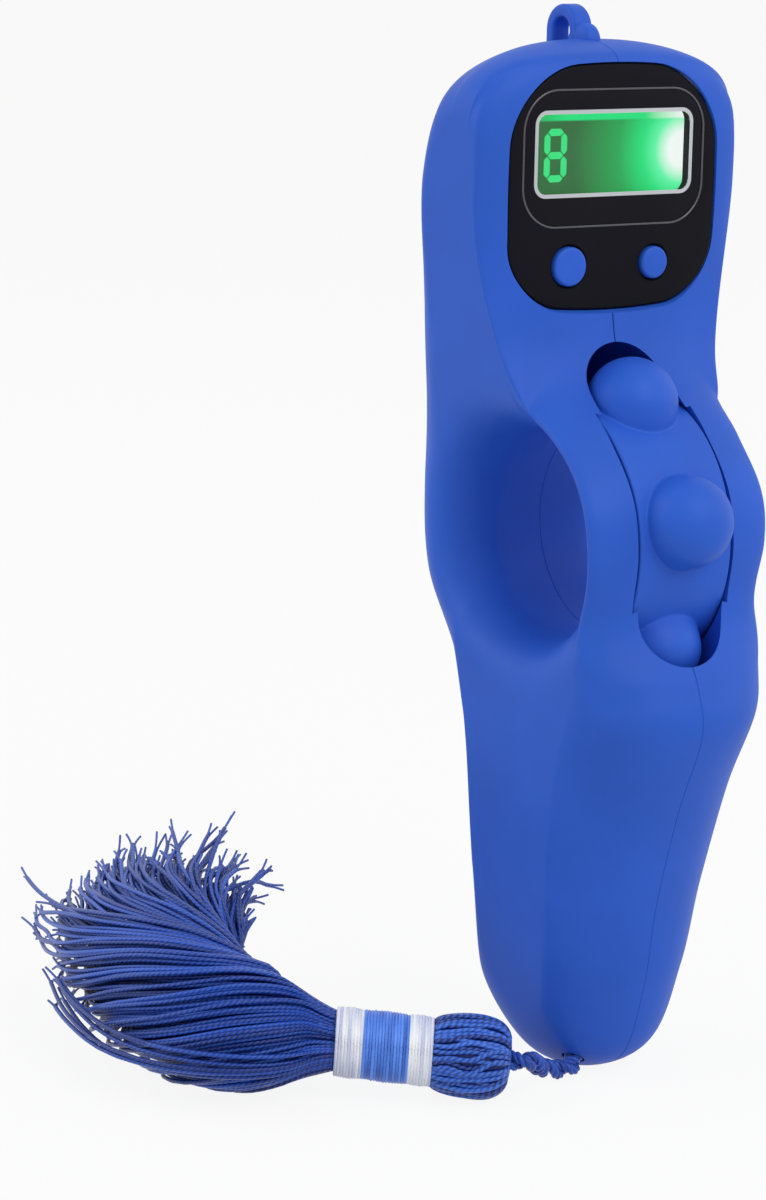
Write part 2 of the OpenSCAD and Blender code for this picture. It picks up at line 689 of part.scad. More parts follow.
// Skirt: centre, half width and half height of sections from the binding to the tips, above the floor
skirt_gap = 0.05;
skirt_at = knob_at + (knob_l / 2 + white_l + blue_l + tail_white_l + skirt_gap) * knob_way;
skirt = [
    concat(skirt_at, [3.6, 3.6]),
    concat(skirt_at + 3.2 * knob_way, [5.4, 5.2]),
    [-38.2, 9, 7.2, 7.6, 6.8],
    [-41.4, 15.5, 7.8, 9.2, 7.2],
    [-41.2, 23.5, 8.6, 10.2, 7.4],
    [-39, 31.5, 10, 11.2, 7.4],
    [-36, 38, 12, 12.4, 7],
    [-31.5, 44, 14, 13.5, 5.8],
    [-27.5, 49, 15.6, 12, 4],
];
skirt_sides = 20;
function skirt_ring(i) = let (c = [for (s = skirt) [s[0], s[1], s[2]]], w = path_way(c, i),
        side = unit([-w[1], w[0], 0]), up = cross(w, side), s = skirt[i])
    [for (k = [0 : skirt_sides - 1]) let (a = 360 * k / skirt_sides)
        c[i] + side * s[3] * cos(a) + up * s[4] * sin(a)];

module tassel_skirt() color(thread_blue) translate([0, hole_y, 0])
    polyhedron([for (i = [0 : len(skirt) - 1]) each skirt_ring(i)], tube_faces(len(skirt), skirt_sides));

left_shell();
right_shell();
display_bezel();
display_lens();
lcd_panel();
backlight_plate();
backlight_led();
zebra_strip();
circuit_board();
chip_blob();
button_domes();
light_button();
reset_button();
bead_wheel();
click_spring();
count_switch();
battery_cells();
battery_contacts();
contact_bridge();
battery_door();
door_screw();
case_screws();
tassel_cord();
tassel_knob();
binding_white();
binding_blue();
tassel_skirt();
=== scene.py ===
"""Dress a hand tally counter: moulded case halves, bead wheel, lit display, buttons, tassel and studio."""

import json
import math

import bpy
import numpy as np
from bpy.props import FloatProperty, FloatVectorProperty, IntProperty, PointerProperty
from mathutils import Matrix, Vector


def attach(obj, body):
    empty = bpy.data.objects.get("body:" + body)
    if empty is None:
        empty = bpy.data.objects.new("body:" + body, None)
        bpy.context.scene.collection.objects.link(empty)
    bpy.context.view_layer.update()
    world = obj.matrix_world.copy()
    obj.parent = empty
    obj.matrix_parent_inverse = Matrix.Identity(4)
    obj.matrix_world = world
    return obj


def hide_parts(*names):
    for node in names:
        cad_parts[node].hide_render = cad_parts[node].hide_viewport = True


bl_info = {
    "name": "Tally counter",
    "version": (1, 0, 0),
    "blender": (4, 5, 0),
    "location": "View3D > Sidebar > Tally counter",
    "description": "Builds the visible pieces of a hand tally counter on its solids",
    "category": "Object",
}

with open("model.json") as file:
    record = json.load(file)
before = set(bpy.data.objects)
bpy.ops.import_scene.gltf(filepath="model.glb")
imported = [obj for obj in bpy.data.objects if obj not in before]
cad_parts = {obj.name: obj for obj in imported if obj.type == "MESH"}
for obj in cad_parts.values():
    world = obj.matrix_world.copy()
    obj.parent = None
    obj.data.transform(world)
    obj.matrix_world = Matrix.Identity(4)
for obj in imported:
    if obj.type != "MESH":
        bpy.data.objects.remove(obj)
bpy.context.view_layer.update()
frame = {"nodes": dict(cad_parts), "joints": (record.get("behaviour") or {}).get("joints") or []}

# Shapes are worked out in millimetres from the finger hole's centre: X across, Y back, Z up
MM = 0.001
HOLE = np.array(next(j["pos_m"] for j in frame["joints"] if j["name"] == "wheel_turn"))
FLOOR = -HOLE[2] / MM
# How far a cutter runs past a face, and a reach that is outside the case to both sides, in front and behind
OVER = 1.0
FAR = 40.0

# Wheel and finger hole, as the solids have them
HOLE_R = 11.5
TUBE_R = 12.5
BORE_R = 12.58
RING_R = 15.18
SKIN_R = 15.28
BAND_W = 12.2
SLOT_W = 12.8
SLOT_OVER = 0.5
BEAD_R = 5.1
BEAD_GAP = 0.6
BEAD_COUNT = 6
BEAD_TURN = 12
BEAD_TOP = 20.88
BEAD_ROOT = 0.4
WHEEL_STEPS = 240

# Case
BACK_R = 22.88
RING_W = 24.6
HEAD_W = 34.8
HEAD_FULL_Z = BEAD_TOP + 17
HEAD_FRONT = 0.8
HEAD_BACK = 17.0
HEAD_TOP = 52.78
TAIL_W = 15.6
TAIL_Z = 61.38
TAIL_EASE = 8.0
CHIN_Y = 18.98
GRIP_BACK = 13.5
GRIP_FRONT = 10.4
RIM_FLARE = 7.0
LIP_SPAN = 12.0
SWELL_Z = 5.0
LAND = 0.4
SEAM_FLAT = 0.3
SCREW_SEAT = 4.5
SCREW_HOLE_R = 1.1
SCREW_HEAD_R = 1.9
CASE_SCREWS = ((9.7, 47.58), (14.48, 22.48), (-9.0, -25.48), (7.0, -50.38))
LUG_Y = 8.6
LUG_R = 2.8
LUG_T = 2.4
LUG_SOFT = 0.45
LUG_LEG = 4.0
LUG_FOOT_R = 2.0
LUG_FOOT_SINK = 0.2
EYE_R = 1.4
EYE_Z = 53.68

# Display, from the face backwards
BEZEL = (27.6, 26.3, (8.4, 6.6), 1.1)
BEZEL_Y = -0.3
BEZEL_BACK = 1.5
BEZEL_Z = 37.43
BEZEL_EDGE = 0.25
BEZEL_MOUTH = 0.35
BEZEL_MOUTH_Y = -1.0
BEZEL_THROUGH = 5.0
FIT_GAP = 0.12
BAY = (25.2, 24.2, 4.8)
BAY_Z = 37.58
BAY_BACK = 7.7
LENS = (24.0, 14.6, 4.4)
LENS_Y = -0.25
LENS_T = 0.9
LENS_Z = 40.58
LENS_EDGE = 0.2
VIEW = (21.0, 9.2, 1.5)
VIEW_Z = 41.08
GLASS = (23.4, 12.6, 0.3)
GLASS_Y = 1.6
GLASS_T = 1.4
GLASS_EDGE = 0.05
BUTTON_X = 5.65
BUTTON_Z = 29.08
BUTTON_OUT = 0.45
BUTTON_BEVEL = 0.2
LIGHT_R = 2.12
RESET_R = 1.76

# Battery door
CELL_Z = 39.18
CELL_BAY = (24.4, 12.4, 6.0)
CELL_BAY_OVER = 0.5
BOARD_BACK = 5.6
DOOR = (25.2, 20.2, 3.0)
DOOR_Y = 12.3
DOOR_Z = 36.48
DOOR_GAP = 0.15
DOOR_SCREW = (6.0, 29.78)
DOOR_SCREW_Y = 9.0
DOOR_SCREW_R = 0.92
DOOR_SCREW_SEAT = 1.3

# Tassel: cord, knob and skirt, with heights above the floor
CORD_D = 1.8
CORD_GAP = 0.35
CORD_POINTS = ((-3, -1, 6.3), (-3.9, -2.7, 3.95), (-4.8, -4.4, 1.6), (-6.2, -4.8, 1), (-8.2, -4.8, 1.4),
               (-10.2, -5.6, 2.2), (-11.8, -7, 3.2), (-13, -7.9, 4), (-14.3, -8.05, 4.25),
               (-15.6, -7.15, 4.4))
KNOB_AT = (-19.1, -4.75, 4.75)
KNOB_TURN = 145
KNOB_LIFT = 5
KNOB_L = 8.4
KNOB_R = 4.7
WHITE_L = 2.6
BLUE_L = 5.0
TAIL_WHITE_L = 3.0
BINDING_R = 4.1
# Stations of the skirt: its middle line, half width and half height
SKIRT = ((-38.4, 8.2, 7.2, 8.4, 6.8), (-41.8, 14.4, 7.6, 10, 7.2), (-41.6, 22, 8.2, 10.4, 7.4),
         (-39.8, 29.5, 9.2, 10.8, 7.4), (-36.6, 36, 10.4, 11.8, 7.4), (-33, 41.5, 11, 13.6, 7.4),
         (-29.2, 46, 11.2, 16, 7.6))
SKIRT_STEPS = 38
THREAD_L = 50.5
# Threads that have come loose on the outer side, and threads that reach out over the bend
LOOSE = 6
STRAY = 8

# Camera: it looks at the finger hole, then turns; angles in radians, focal length in pixels of the photo
CAMERA_AZIMUTH = 0.64776
CAMERA_LIFT = 0.18379
CAMERA_YAW = -0.06234
CAMERA_PITCH = 0.0226
CAMERA_ROLL = -0.03085
CAMERA_DISTANCE = 380.0
FOCAL_PIXELS = 3454.545
PHOTO_HEIGHT = 1200


def linear(code):
    """Linear colour of an sRGB hex code."""
    parts = [int(code[k:k + 2], 16) / 255 for k in (1, 3, 5)]
    return tuple(c / 12.92 if c <= 0.04045 else ((c + 0.055) / 1.055) ** 2.4 for c in parts)


def with_alpha(colour):
    """A colour with full alpha, as the sockets take it."""
    return (*colour, 1.0)


def shaded(colour, share):
    """A colour made darker or lighter, up to full white."""
    return [min(1, c * share) for c in colour]


# Numbers and curves


def unit(vectors):
    """Vectors brought to length one along the last axis."""
    return vectors / np.linalg.norm(vectors, axis=-1, keepdims=True)


def full_turn(count):
    """Even angles once round, in radians."""
    return np.linspace(0, 2 * np.pi, count, endpoint=False)


def eased(t):
    """Smooth step: 0 up to 0, 1 from 1 on, and between them a cubic that is level at both ends."""
    t = np.clip(t, 0, 1)
    return t * t * (3 - 2 * t)


def rounding(d, depth, power):
    """Quarter of a superellipse: 0 at the edge, 1 from the depth of the rounding inwards."""
    return (1 - (1 - np.clip(d / depth, 0, 1)) ** power) ** (1 / power)


def quarter(middle, radius, start, stop, count=7):
    """Points on an arc from one angle to another, in degrees."""
    turn = np.radians(np.linspace(start, stop, count))
    return np.stack([middle[0] + radius * np.cos(turn), middle[1] + radius * np.sin(turn)], 1)


def cubic(p0, p1, p2, p3, t):
    """Cubic between the two middle ones of four points, and its slope, at a share t of the way."""
    bend, twist = 2 * p0 - 5 * p1 + 4 * p2 - p3, 3 * p1 - p0 - 3 * p2 + p3
    value = 0.5 * (2 * p1 + (p2 - p0) * t + bend * t ** 2 + twist * t ** 3)
    slope = 0.5 * ((p2 - p0) + 2 * bend * t + 3 * twist * t ** 2)
    return value, slope


def open_spline(points, count):
    """Smooth curve through points, spaced evenly by station: the cubic of four neighbours."""
    ends = np.concatenate([2 * points[:1] - points[1:2], points, 2 * points[-1:] - points[-2:-1]])
    at = np.linspace(0, len(points) - 1, count)
    k = np.minimum(at.astype(int), len(points) - 2)
    return cubic(*(ends[k + j] for j in range(4)), (at - k)[:, None])[0]


def run_of(paths):
    """Distance along each path at each of its points."""
    steps = np.linalg.norm(np.diff(paths, axis=1), axis=2)
    return np.pad(np.cumsum(steps, axis=1), ((0, 0), (1, 0)))


def even_spacing(paths, count, stop=np.inf):
    """Points spaced evenly along each path, from its start to a distance along it, or to its end."""
    run = run_of(paths)
    even = np.linspace(0, 1, count)
    return np.stack([np.stack([np.interp(even * last, at, c) for c in path.T], 1)
                     for path, at, last in zip(paths, run, np.minimum(stop, run[:, -1]))])


def above_floor(points):
    """Points whose heights are given above the floor, with heights from the finger hole instead."""
    points = np.array(points, float)
    points[..., 2] += FLOOR
    return points


# Meshes


def grid_faces(rows, columns, close_rows=False):
    """Quads between neighbours in a grid of closed rows; point (u, v) has the number u * columns + v."""
    u = np.arange(rows if close_rows else rows - 1)[:, None]
    v = np.arange(columns)[None, :]
    after, beside = (u + 1) % rows, (v + 1) % columns
    corners = [u * columns + v, after * columns + v, after * columns + beside, u * columns + beside]
    return np.stack(np.broadcast_arrays(*corners), -1).reshape(-1, 4)


def ring_skin(rings):
    """A skin over rings of equal length, of which the last joins the first."""
    return rings.reshape(-1, 3), grid_faces(*rings.shape[:2], True).tolist()


def closed_loft(rings):
    """A closed skin over rings of equal length: quads between the rings and a fan to each end's middle."""
    count, around = rings.shape[:2]
    points = np.concatenate([rings.reshape(-1, 3), rings[:1].mean(axis=1), rings[-1:].mean(axis=1)])
    a = np.arange(around)
    b = (a + 1) % around
    last = (count - 1) * around
    first_fan = np.stack([a, b, np.full(around, count * around)], 1)
    last_fan = np.stack([last + b, last + a, np.full(around, count * around + 1)], 1)
    return points, grid_faces(count, around).tolist() + first_fan.tolist() + last_fan.tolist()


def signed_volume(points, faces):
    """Volume inside a skin: the sum of the tetrahedra from the origin to its triangles and quads."""
    total = 0.0
    for corners in (3, 4):
        same = np.array([f for f in faces if len(f) == corners], dtype=int).reshape(-1, corners)
        for k in range(1, corners - 1):
            a, b, c = points[same[:, 0]], points[same[:, k]], points[same[:, k + 1]]
            total += np.einsum("ij,ij->", a, np.cross(b, c)) / 6
    return total


def outward(points, faces):
    """Faces of a closed skin, turned over if they point inward."""
    inside_out = signed_volume(points - points.mean(axis=0), faces) < 0
    return [f[::-1] for f in faces] if inside_out else faces


def join_parts(parts):
    """Points and faces of several skins as one list each."""
    points, faces, count = [], [], 0
    for some_points, some_faces in parts:
        points.append(some_points)
        faces += [[k + count for k in f] for f in outward(some_points, some_faces)]
        count += len(some_points)
    return np.concatenate(points), faces


def new_object(name, points, faces, *materials):
    """Make an object from points in millimetres about the finger hole."""
    mesh = bpy.data.meshes.new(name)
    mesh.from_pydata((points * MM + HOLE).tolist(), [], faces)
    mesh.update()
    for finish in materials:
        mesh.materials.append(finish)
    obj = bpy.data.objects.new(name, mesh)
    bpy.context.scene.collection.objects.link(obj)
    return obj


def cut(obj, operation, skin):
    """Combine an object with a closed skin for good: DIFFERENCE, INTERSECT or UNION."""
    cutter = new_object("cutter", skin[0], outward(*skin))
    change = obj.modifiers.new(operation, "BOOLEAN")
    change.operation = operation
    change.object = cutter
    change.solver = "MANIFOLD"
    result = bpy.data.meshes.new_from_object(obj.evaluated_get(bpy.context.evaluated_depsgraph_get()))
    obj.modifiers.clear()
    old, obj.data = obj.data, result
    name = old.name
    bpy.data.meshes.remove(old)
    result.name = name
    spent = cutter.data
    bpy.data.objects.remove(cutter)
    bpy.data.meshes.remove(spent)
    if not len(result.vertices):
        raise RuntimeError(f"{name}: {operation} left nothing")


def soften(obj, angle):
    """Shade smooth, with a hard line where two faces meet at more than the angle in degrees."""
    obj.data.shade_smooth()
    obj.data.set_sharp_from_angle(angle=math.radians(angle))


def place(obj, body, slot, *nodes):
    """Let a piece stand for its solids and move with a body; the slot is not used."""
    if nodes:
        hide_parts(*nodes)
    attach(obj, body)


def put_piece(name, skin, finish, body, slot, *nodes, cuts=(), angle=32):
    """Make a piece from a closed skin, combine it with the cuts in their order, soften it and place it."""
    obj = new_object(name, skin[0], outward(*skin), finish)
    for operation, cutter in cuts:
        cut(obj, operation, cutter)
    soften(obj, angle)
    place(obj, body, slot, *nodes)
    return obj


# Outlines and simple skins


def rounded_outline(width, height, radius, arc, crown=0.0):
    """Rectangle with round corners, anticlockwise: four quarter circles joined by straight sides.

    The radius may be a pair, for the upper and the lower corners. With a crown, each side falls away as a
    parabola from its middle to its ends."""
    turn = np.radians(np.linspace(0, 90, arc))
    start = np.radians(np.array([0, 90, 180, 270]))[:, None]
    radius = np.repeat(np.broadcast_to(radius, 2), 2)[:, None]
    middle = np.array([[1, 1], [-1, 1], [-1, -1], [1, -1]]) * (np.array([width, height]) / 2 - radius)
    x = (middle[:, :1] + radius * np.cos(start + turn)).ravel()
    z = (middle[:, 1:] + radius * np.sin(start + turn)).ravel()
    if crown:
        # Each stretch gets points of its own, so that the straight sides can bend
        part = np.linspace(0, 1, 6, endpoint=False)
        x, z = ((c[:, None] * (1 - part) + np.roll(c, -1)[:, None] * part).ravel() for c in (x, z))
        fall_x = crown / width * (2 * z / height) ** 2
        fall_z = 2 * crown / height * (2 * x / width) ** 2
        x, z = x * (1 - fall_x), z * (1 - fall_z)
    return np.stack([x, z], 1)


def outline_rings(size, middle_z, stations, arc):
    """Rounded outlines along Y, each grown by the second number of its station (Y, growth)."""
    width, height, radius, *crown = size
    rings = []
    for y, growth in stations:
        sides = width + 2 * growth, height + 2 * growth
        outline = rounded_outline(*sides, np.add(radius, growth), arc, *crown)
        rings.append(np.column_stack([outline[:, 0], np.full(len(outline), y), outline[:, 1] + middle_z]))
    return np.array(rings)


def plate(size, middle_z, stations, arc=16):
    """Rounded plate or hole along Y, over the outlines of its stations."""
    return closed_loft(outline_rings(size, middle_z, stations, arc))


def frame_round(size, middle_z, stations, arc=16):
    """Frame round a rounded opening: the outlines of its stations go round the frame's section."""
    return ring_skin(outline_rings(size, middle_z, stations, arc))


def round_over(y, depth):
    """Stations of a plate's rounded front edge: a quarter circle from the face to the side."""
    return [(y + depth * (1 - math.sin(a)), -depth * (1 - math.cos(a))) for a in np.radians([90, 60, 30, 0])]


def turned_x(profile):
    """Ring turned about the finger hole's axis from a closed profile of (X, radius) points."""
    turn = full_turn(WHEEL_STEPS)[:, None]
    x, radius = profile[:, 0] + 0 * turn, profile[:, 1]
    return ring_skin(np.stack([x, -radius * np.cos(turn), radius * np.sin(turn)], -1))


def turned_on(axis_at, way, profile, around):
    """Solid turned about an axis from (radius, distance) points that run from one end to the other."""
    way = unit(np.array(way, float))
    side = unit(np.cross(way, [0, 1, 0] if abs(way[1]) < 0.9 else [0, 0, 1]))
    turn = full_turn(around)[:, None]
    circle = np.cos(turn) * side + np.sin(turn) * np.cross(way, side)
    return closed_loft(np.array(axis_at) + profile[:, None, 1:] * way + profile[:, None, :1] * circle)


def rod(start, end, radius):
    """Round bar between two points: two circles square to the line that joins them."""
    way = np.subtract(end, start)
    return turned_on(start, way, np.array([[radius, 0], [radius, np.linalg.norm(way)]]), 48)


# The case's skin


def rim_rows():
    """Stations round the side outline: Y, Z, spoke angle, edge depth, squareness of the edge, inner arm."""
    def on_circle(radius, angle):
        return [-radius * math.cos(math.radians(angle)), radius * math.sin(math.radians(angle))]

    soft, back, lip, face, arm = 2.2, 2.6, 3, 5, 9
    return np.array([
        [*on_circle(SKIN_R, 0), 0, 2.8, lip, arm],
        [*on_circle(SKIN_R, 24), 24, 2.6, lip, arm],
        [*on_circle(SKIN_R, 52), 50, 3.5, lip, arm],
        [-HEAD_FRONT - 2.4, BEAD_TOP - 3.2, 68, 5, lip, 2],
        [-HEAD_FRONT - 0.1, BEAD_TOP + 2.8, 80, 6, 4, 2],
        [-HEAD_FRONT, BEAD_TOP + 13, 88, 6, face, 4],
        [-HEAD_FRONT, HEAD_TOP - 8.4, 95, 6, face, 3.5],
        [0.2 - HEAD_FRONT, HEAD_TOP - 2.6, 99, 8, 3, 4],
        [1.5, HEAD_TOP - 0.6, 102, 8, 2.7, 5],
        [6.2, HEAD_TOP, 107, 8.6, 2.3, 6],
        [11.6, HEAD_TOP - 2.8, 113, 9, 2.5, 7],
        [HEAD_BACK - 1.4, HEAD_TOP - 9.8, 121, 10, back, arm],
        [HEAD_BACK + 0.6, BEAD_TOP + 11, 132, 11, back, arm],
        [BACK_R - 2, BEAD_TOP - 3, 150, 11, back, arm],
        [BACK_R, 4, 172, 11, back, arm],
        [*on_circle(BACK_R, 201), 196, 11, back, arm],
        [BACK_R - 8.6, 1 - BEAD_TOP, 218, 11, 2.4, arm],
        [GRIP_BACK - 0.8, -BEAD_TOP - 12, 234, 11, soft, arm],
        [GRIP_BACK, -BEAD_TOP - 24, 247, 11, soft, arm],
        [GRIP_BACK - 1.6, 6.2 - TAIL_Z, 258, 9, soft, arm],
        [3, -TAIL_Z, 268, 8, soft, arm],
        [-6.5, 2.4 - TAIL_Z, 276, 8.5, soft, arm],
        [-GRIP_FRONT, 11.4 - TAIL_Z, 284, 9.5, soft, arm],
        [-GRIP_FRONT - 1.8, -BEAD_TOP - 19, 293, 9.5, soft, arm],
        [3.5 - CHIN_Y, -BEAD_TOP - 7.6, 305, 10, soft, arm],
        [-CHIN_Y, 1.4 - BEAD_TOP, 316, 9, soft, arm],
        [1.1 - CHIN_Y, 6.9 - BEAD_TOP, 325, 7, soft, arm],
        [0.6 - SKIN_R, -SKIN_R / 2, 338, 4.5, lip, arm],
    ])


def closed_spline(rows, steps):
    """Cubic through the stations of a closed curve, and its slope; the angle gains a turn per lap."""
    lap = np.array([0, 0, 360, 0, 0, 0])
    before = np.roll(rows, 1, axis=0)
    before[0] -= lap
    after = np.roll(rows, -1, axis=0)
    after[-1] += lap
    beyond = np.roll(rows, -2, axis=0)
    beyond[-2:] += lap
    t = (np.arange(steps) / steps)[None, :, None]
    value, slope = cubic(*(p[:, None, :] for p in (before, rows, after, beyond)), t)
    return value.reshape(-1, 6), slope.reshape(-1, 6)


def half_width(z):
    """Half the case's width at a height: a quarter sine from tail to wheel, an eased step to the head."""
    low = np.sin(np.pi / 2 * np.clip((z + TAIL_Z) / (TAIL_Z - TAIL_EASE), 0, 1))
    high = eased((z - SWELL_Z) / (HEAD_FULL_Z - SWELL_Z))
    return np.where(z < SWELL_Z, TAIL_W + (RING_W - TAIL_W) * low, RING_W + (HEAD_W - RING_W) * high) / 2


def case_skin(steps, count):
    """Right-hand skin of the case as spokes of (X, Y, Z), with each spoke's way and the rim's outward way.

    Each spoke is a cubic from the bore to the rim, in the middle plane. Its height above that plane is the
    case's half width, times the flare round the bore, times the rounding of the edge."""
    rows, slope = closed_spline(rim_rows(), steps)
    end, edge_depth, squareness, arm = rows[:, :2], rows[:, 3:4], rows[:, 4:5], rows[:, 5:]
    angle = np.radians(rows[:, 2])
    way = np.stack([-np.cos(angle), np.sin(angle)], 1)
    out = unit(np.stack([-slope[:, 1], slope[:, 0]], 1))
    start = (HOLE_R - LAND) * way
    span = np.linalg.norm(end - start, axis=1, keepdims=True)
    near_share, far_share = 0.35, 0.4
    near = start + way * span * near_share
    far = end - out * np.minimum(span * far_share, arm)

    def along(t):
        t = t[:, :, None]
        s = 1 - t
        return (s ** 3 * start[:, None] + 3 * t * s * s * near[:, None] + 3 * t * t * s * far[:, None]
                + t ** 3 * end[:, None])

    # The share of each spoke that lies inside the bore is found by halving, and left out
    halvings, samples = 40, 600
    low, high = np.zeros((len(rows), 1)), np.full((len(rows), 1), 0.6)
    for _ in range(halvings):
        middle = (low + high) / 2
        inside = np.linalg.norm(along(middle), axis=2) < HOLE_R
        low, high = np.where(inside, middle, low), np.where(inside, high, middle)
    q = along(high + (1 - high) * (1 - np.cos(np.linspace(0, np.pi, samples))) / 2)
    # Round lip where the wall in front of the hole is narrow, and a fuller flare where it is wide
    wide = np.clip((span - SKIN_R + HOLE_R) / LIP_SPAN, 0, 1)
    depth = np.minimum(RIM_FLARE, (0.75 - 0.25 * wide) * span)
    flare = rounding(np.linalg.norm(q, axis=2) - HOLE_R + LAND, depth, 2 + wide)
    edge = rounding(np.linalg.norm(end[:, None] - q, axis=2), np.minimum(edge_depth, span), squareness)
    x = np.maximum(half_width(q[:, :, 1]) * flare * edge, SEAM_FLAT)
    return even_spacing(np.concatenate([x[:, :, None], q], axis=2), count), way, out


def case_half(side, groove_w, groove_d, steps=12, count=90, across=14, up_wall=4):
    """One half of the case: bore wall, skin, rim and flat parting face, with a fine groove at the seam."""
    skin, way, out = case_skin(steps, count)

    def row_at(x, flat):
        return np.concatenate([np.broadcast_to(x, (len(flat), 1)), flat], axis=1)

    bore, rim = HOLE_R * way, skin[:, -1, 1:]
    rise = skin[:, :1, 0] - groove_w
    wall = [row_at(0.0, (HOLE_R + groove_d) * way)]
    wall += [row_at(groove_w + rise * k / up_wall, bore) for k in range(up_wall)]
    edge = [row_at(groove_w, rim), row_at(0.0, rim - groove_d * out)]
    inner = skin[:, np.linspace(count - 1, 0, across).astype(int)[1:-1]] * [0, 1, 1]
    rings = np.concatenate([np.stack(wall, 1), skin, np.stack(edge, 1), inner], axis=1)
    return ring_skin(rings * [side, 1, 1])


def whole_skin(steps=12, count=60):
    """Both sides of the case as one closed skin without the seam's groove."""
    skin = case_skin(steps, count)[0]
    return ring_skin(np.concatenate([skin, skin[:, ::-1] * [-1, 1, 1]], axis=1))


def lug_half(side):
    """Half of the lug: a flat arch carried over the eye, with its outer edges rounded."""
    bow = np.radians(np.linspace(0, 180, 33))
    middle_r, half_t = (LUG_R + EYE_R) / 2, (LUG_R - EYE_R) / 2
    out = np.concatenate([[[1, 0]], np.stack([np.cos(bow), np.sin(bow)], 1), [[-1, 0]]])
    path = np.array([LUG_Y, EYE_Z]) + middle_r * out
    path[[0, -1], 1] -= LUG_LEG
    section = np.concatenate([
        [[0, -half_t]], quarter((LUG_T / 2 - LUG_SOFT, LUG_SOFT - half_t), LUG_SOFT, -90, 0),
        quarter((LUG_T / 2 - LUG_SOFT, half_t - LUG_SOFT), LUG_SOFT, 0, 90), [[0, half_t]]])
    rings = np.zeros((len(path), len(section), 3))
    rings[:, :, 0] = section[:, 0] * side
    rings[:, :, 1:] = path[:, None] + out[:, None] * section[None, :, 1:]
    return closed_loft(rings)


def lug_foot(side):
    """Half of the low hump in front of the lug: half of a squarish ellipsoid on the parting face."""
    squareness = 0.6
    lift = np.radians(np.linspace(0, 89, 14))[:, None]
    turn = full_turn(40)
    x = side * LUG_T / 2 * np.sin(lift) ** squareness + 0 * turn
    r = LUG_FOOT_R * np.cos(lift) ** squareness
    y, z = LUG_Y - LUG_R + r * np.cos(turn), HEAD_TOP - LUG_FOOT_SINK + r * np.sin(turn)
    return closed_loft(np.stack([x, y, z], -1))


def wheel_room():
    """Room for the turning wheel: a slot for the band with a round channel for the beads."""
    reach = math.sqrt((BEAD_R + BEAD_GAP) ** 2 - SLOT_OVER ** 2)
    open_angle = math.degrees(math.atan2(SLOT_OVER, reach))
    return turned_x(np.concatenate([
        [[-SLOT_W / 2, TUBE_R], [SLOT_W / 2, TUBE_R], [SLOT_W / 2, RING_R + SLOT_OVER]],
        quarter((0, RING_R), BEAD_R + BEAD_GAP, open_angle, 180 - open_angle, 40),
        [[-SLOT_W / 2, RING_R + SLOT_OVER]]]))


def below_floor():
    """A block under the floor, which gives the case its flat foot."""
    box = np.array([[-FAR, -FAR], [FAR, -FAR], [FAR, FAR], [-FAR, FAR]])
    return closed_loft(np.stack([np.column_stack([box, np.full(4, z)]) for z in (FLOOR - FAR, FLOOR)]))


def case_cutters(side):
    """Everything that is taken out of one half of the case."""
    mouth = FIT_GAP + BEZEL_MOUTH
    recess = [(-FAR, mouth), (BEZEL_MOUTH_Y, mouth), (BEZEL_Y, FIT_GAP), (BEZEL_BACK, FIT_GAP)]
    yield wheel_room()
    yield plate(BEZEL, BEZEL_Z, recess)
    yield plate(BAY, BAY_Z, [(BEZEL_Y, 0), (BAY_BACK, 0)])
    yield plate(CELL_BAY, CELL_Z, [(BOARD_BACK, 0), (DOOR_Y + CELL_BAY_OVER, 0)])
    yield plate(DOOR, DOOR_Z, [(DOOR_Y, DOOR_GAP), (FAR, DOOR_GAP)])
    yield below_floor()
    if side > 0:
        x, z = DOOR_SCREW
        yield rod((x, DOOR_SCREW_Y, z), (x, DOOR_Y + OVER, z), DOOR_SCREW_R)
        for y, z in CASE_SCREWS:
            yield rod((-OVER, y, z), (FAR, y, z), SCREW_HOLE_R)
            yield rod((SCREW_SEAT, y, z), (FAR, y, z), SCREW_HEAD_R)
    else:
        from_knot, way_out = above_floor(CORD_POINTS)[[0, 2]]
        yield rod(from_knot, 2 * way_out - from_knot, CORD_D / 2 + CORD_GAP)


# Finishes


def add_node(tree, kind, inputs=None, stops=(), **settings):
    """Add a shader node with its settings, its inputs' values or links, and a ramp's (place, colour) stops.

    A node that is given for an input is linked by its first output."""
    node = tree.nodes.new("ShaderNode" + kind)
    for key, value in settings.items():
        setattr(node, key, value)
    for key, value in (inputs or {}).items():
        value = value.outputs[0] if isinstance(value, bpy.types.Node) else value
        if isinstance(value, bpy.types.NodeSocket):
            tree.links.new(value, node.inputs[key])
        else:
            node.inputs[key].default_value = value
    if stops:
        bar = node.color_ramp.elements
        bar[0].position, bar[1].position = stops[0][0], stops[-1][0]
        for at, _ in stops[1:-1]:
            bar.new(at)
        for mark, (_, colour) in zip(bar, stops):
            mark.color = with_alpha(colour)
    return node


def new_finish(name):
    """An empty material and its node tree."""
    finish = bpy.data.materials.new(name)
    finish.use_nodes = True
    finish.node_tree.nodes.clear()
    return finish, finish.node_tree


def close_finish(finish, inputs, kind="BsdfPrincipled"):
    """Lead a shader with its inputs to the material's surface, and hand the material back."""
    tree = finish.node_tree
    add_node(tree, "OutputMaterial", {"Surface": add_node(tree, kind, inputs)})
    return finish


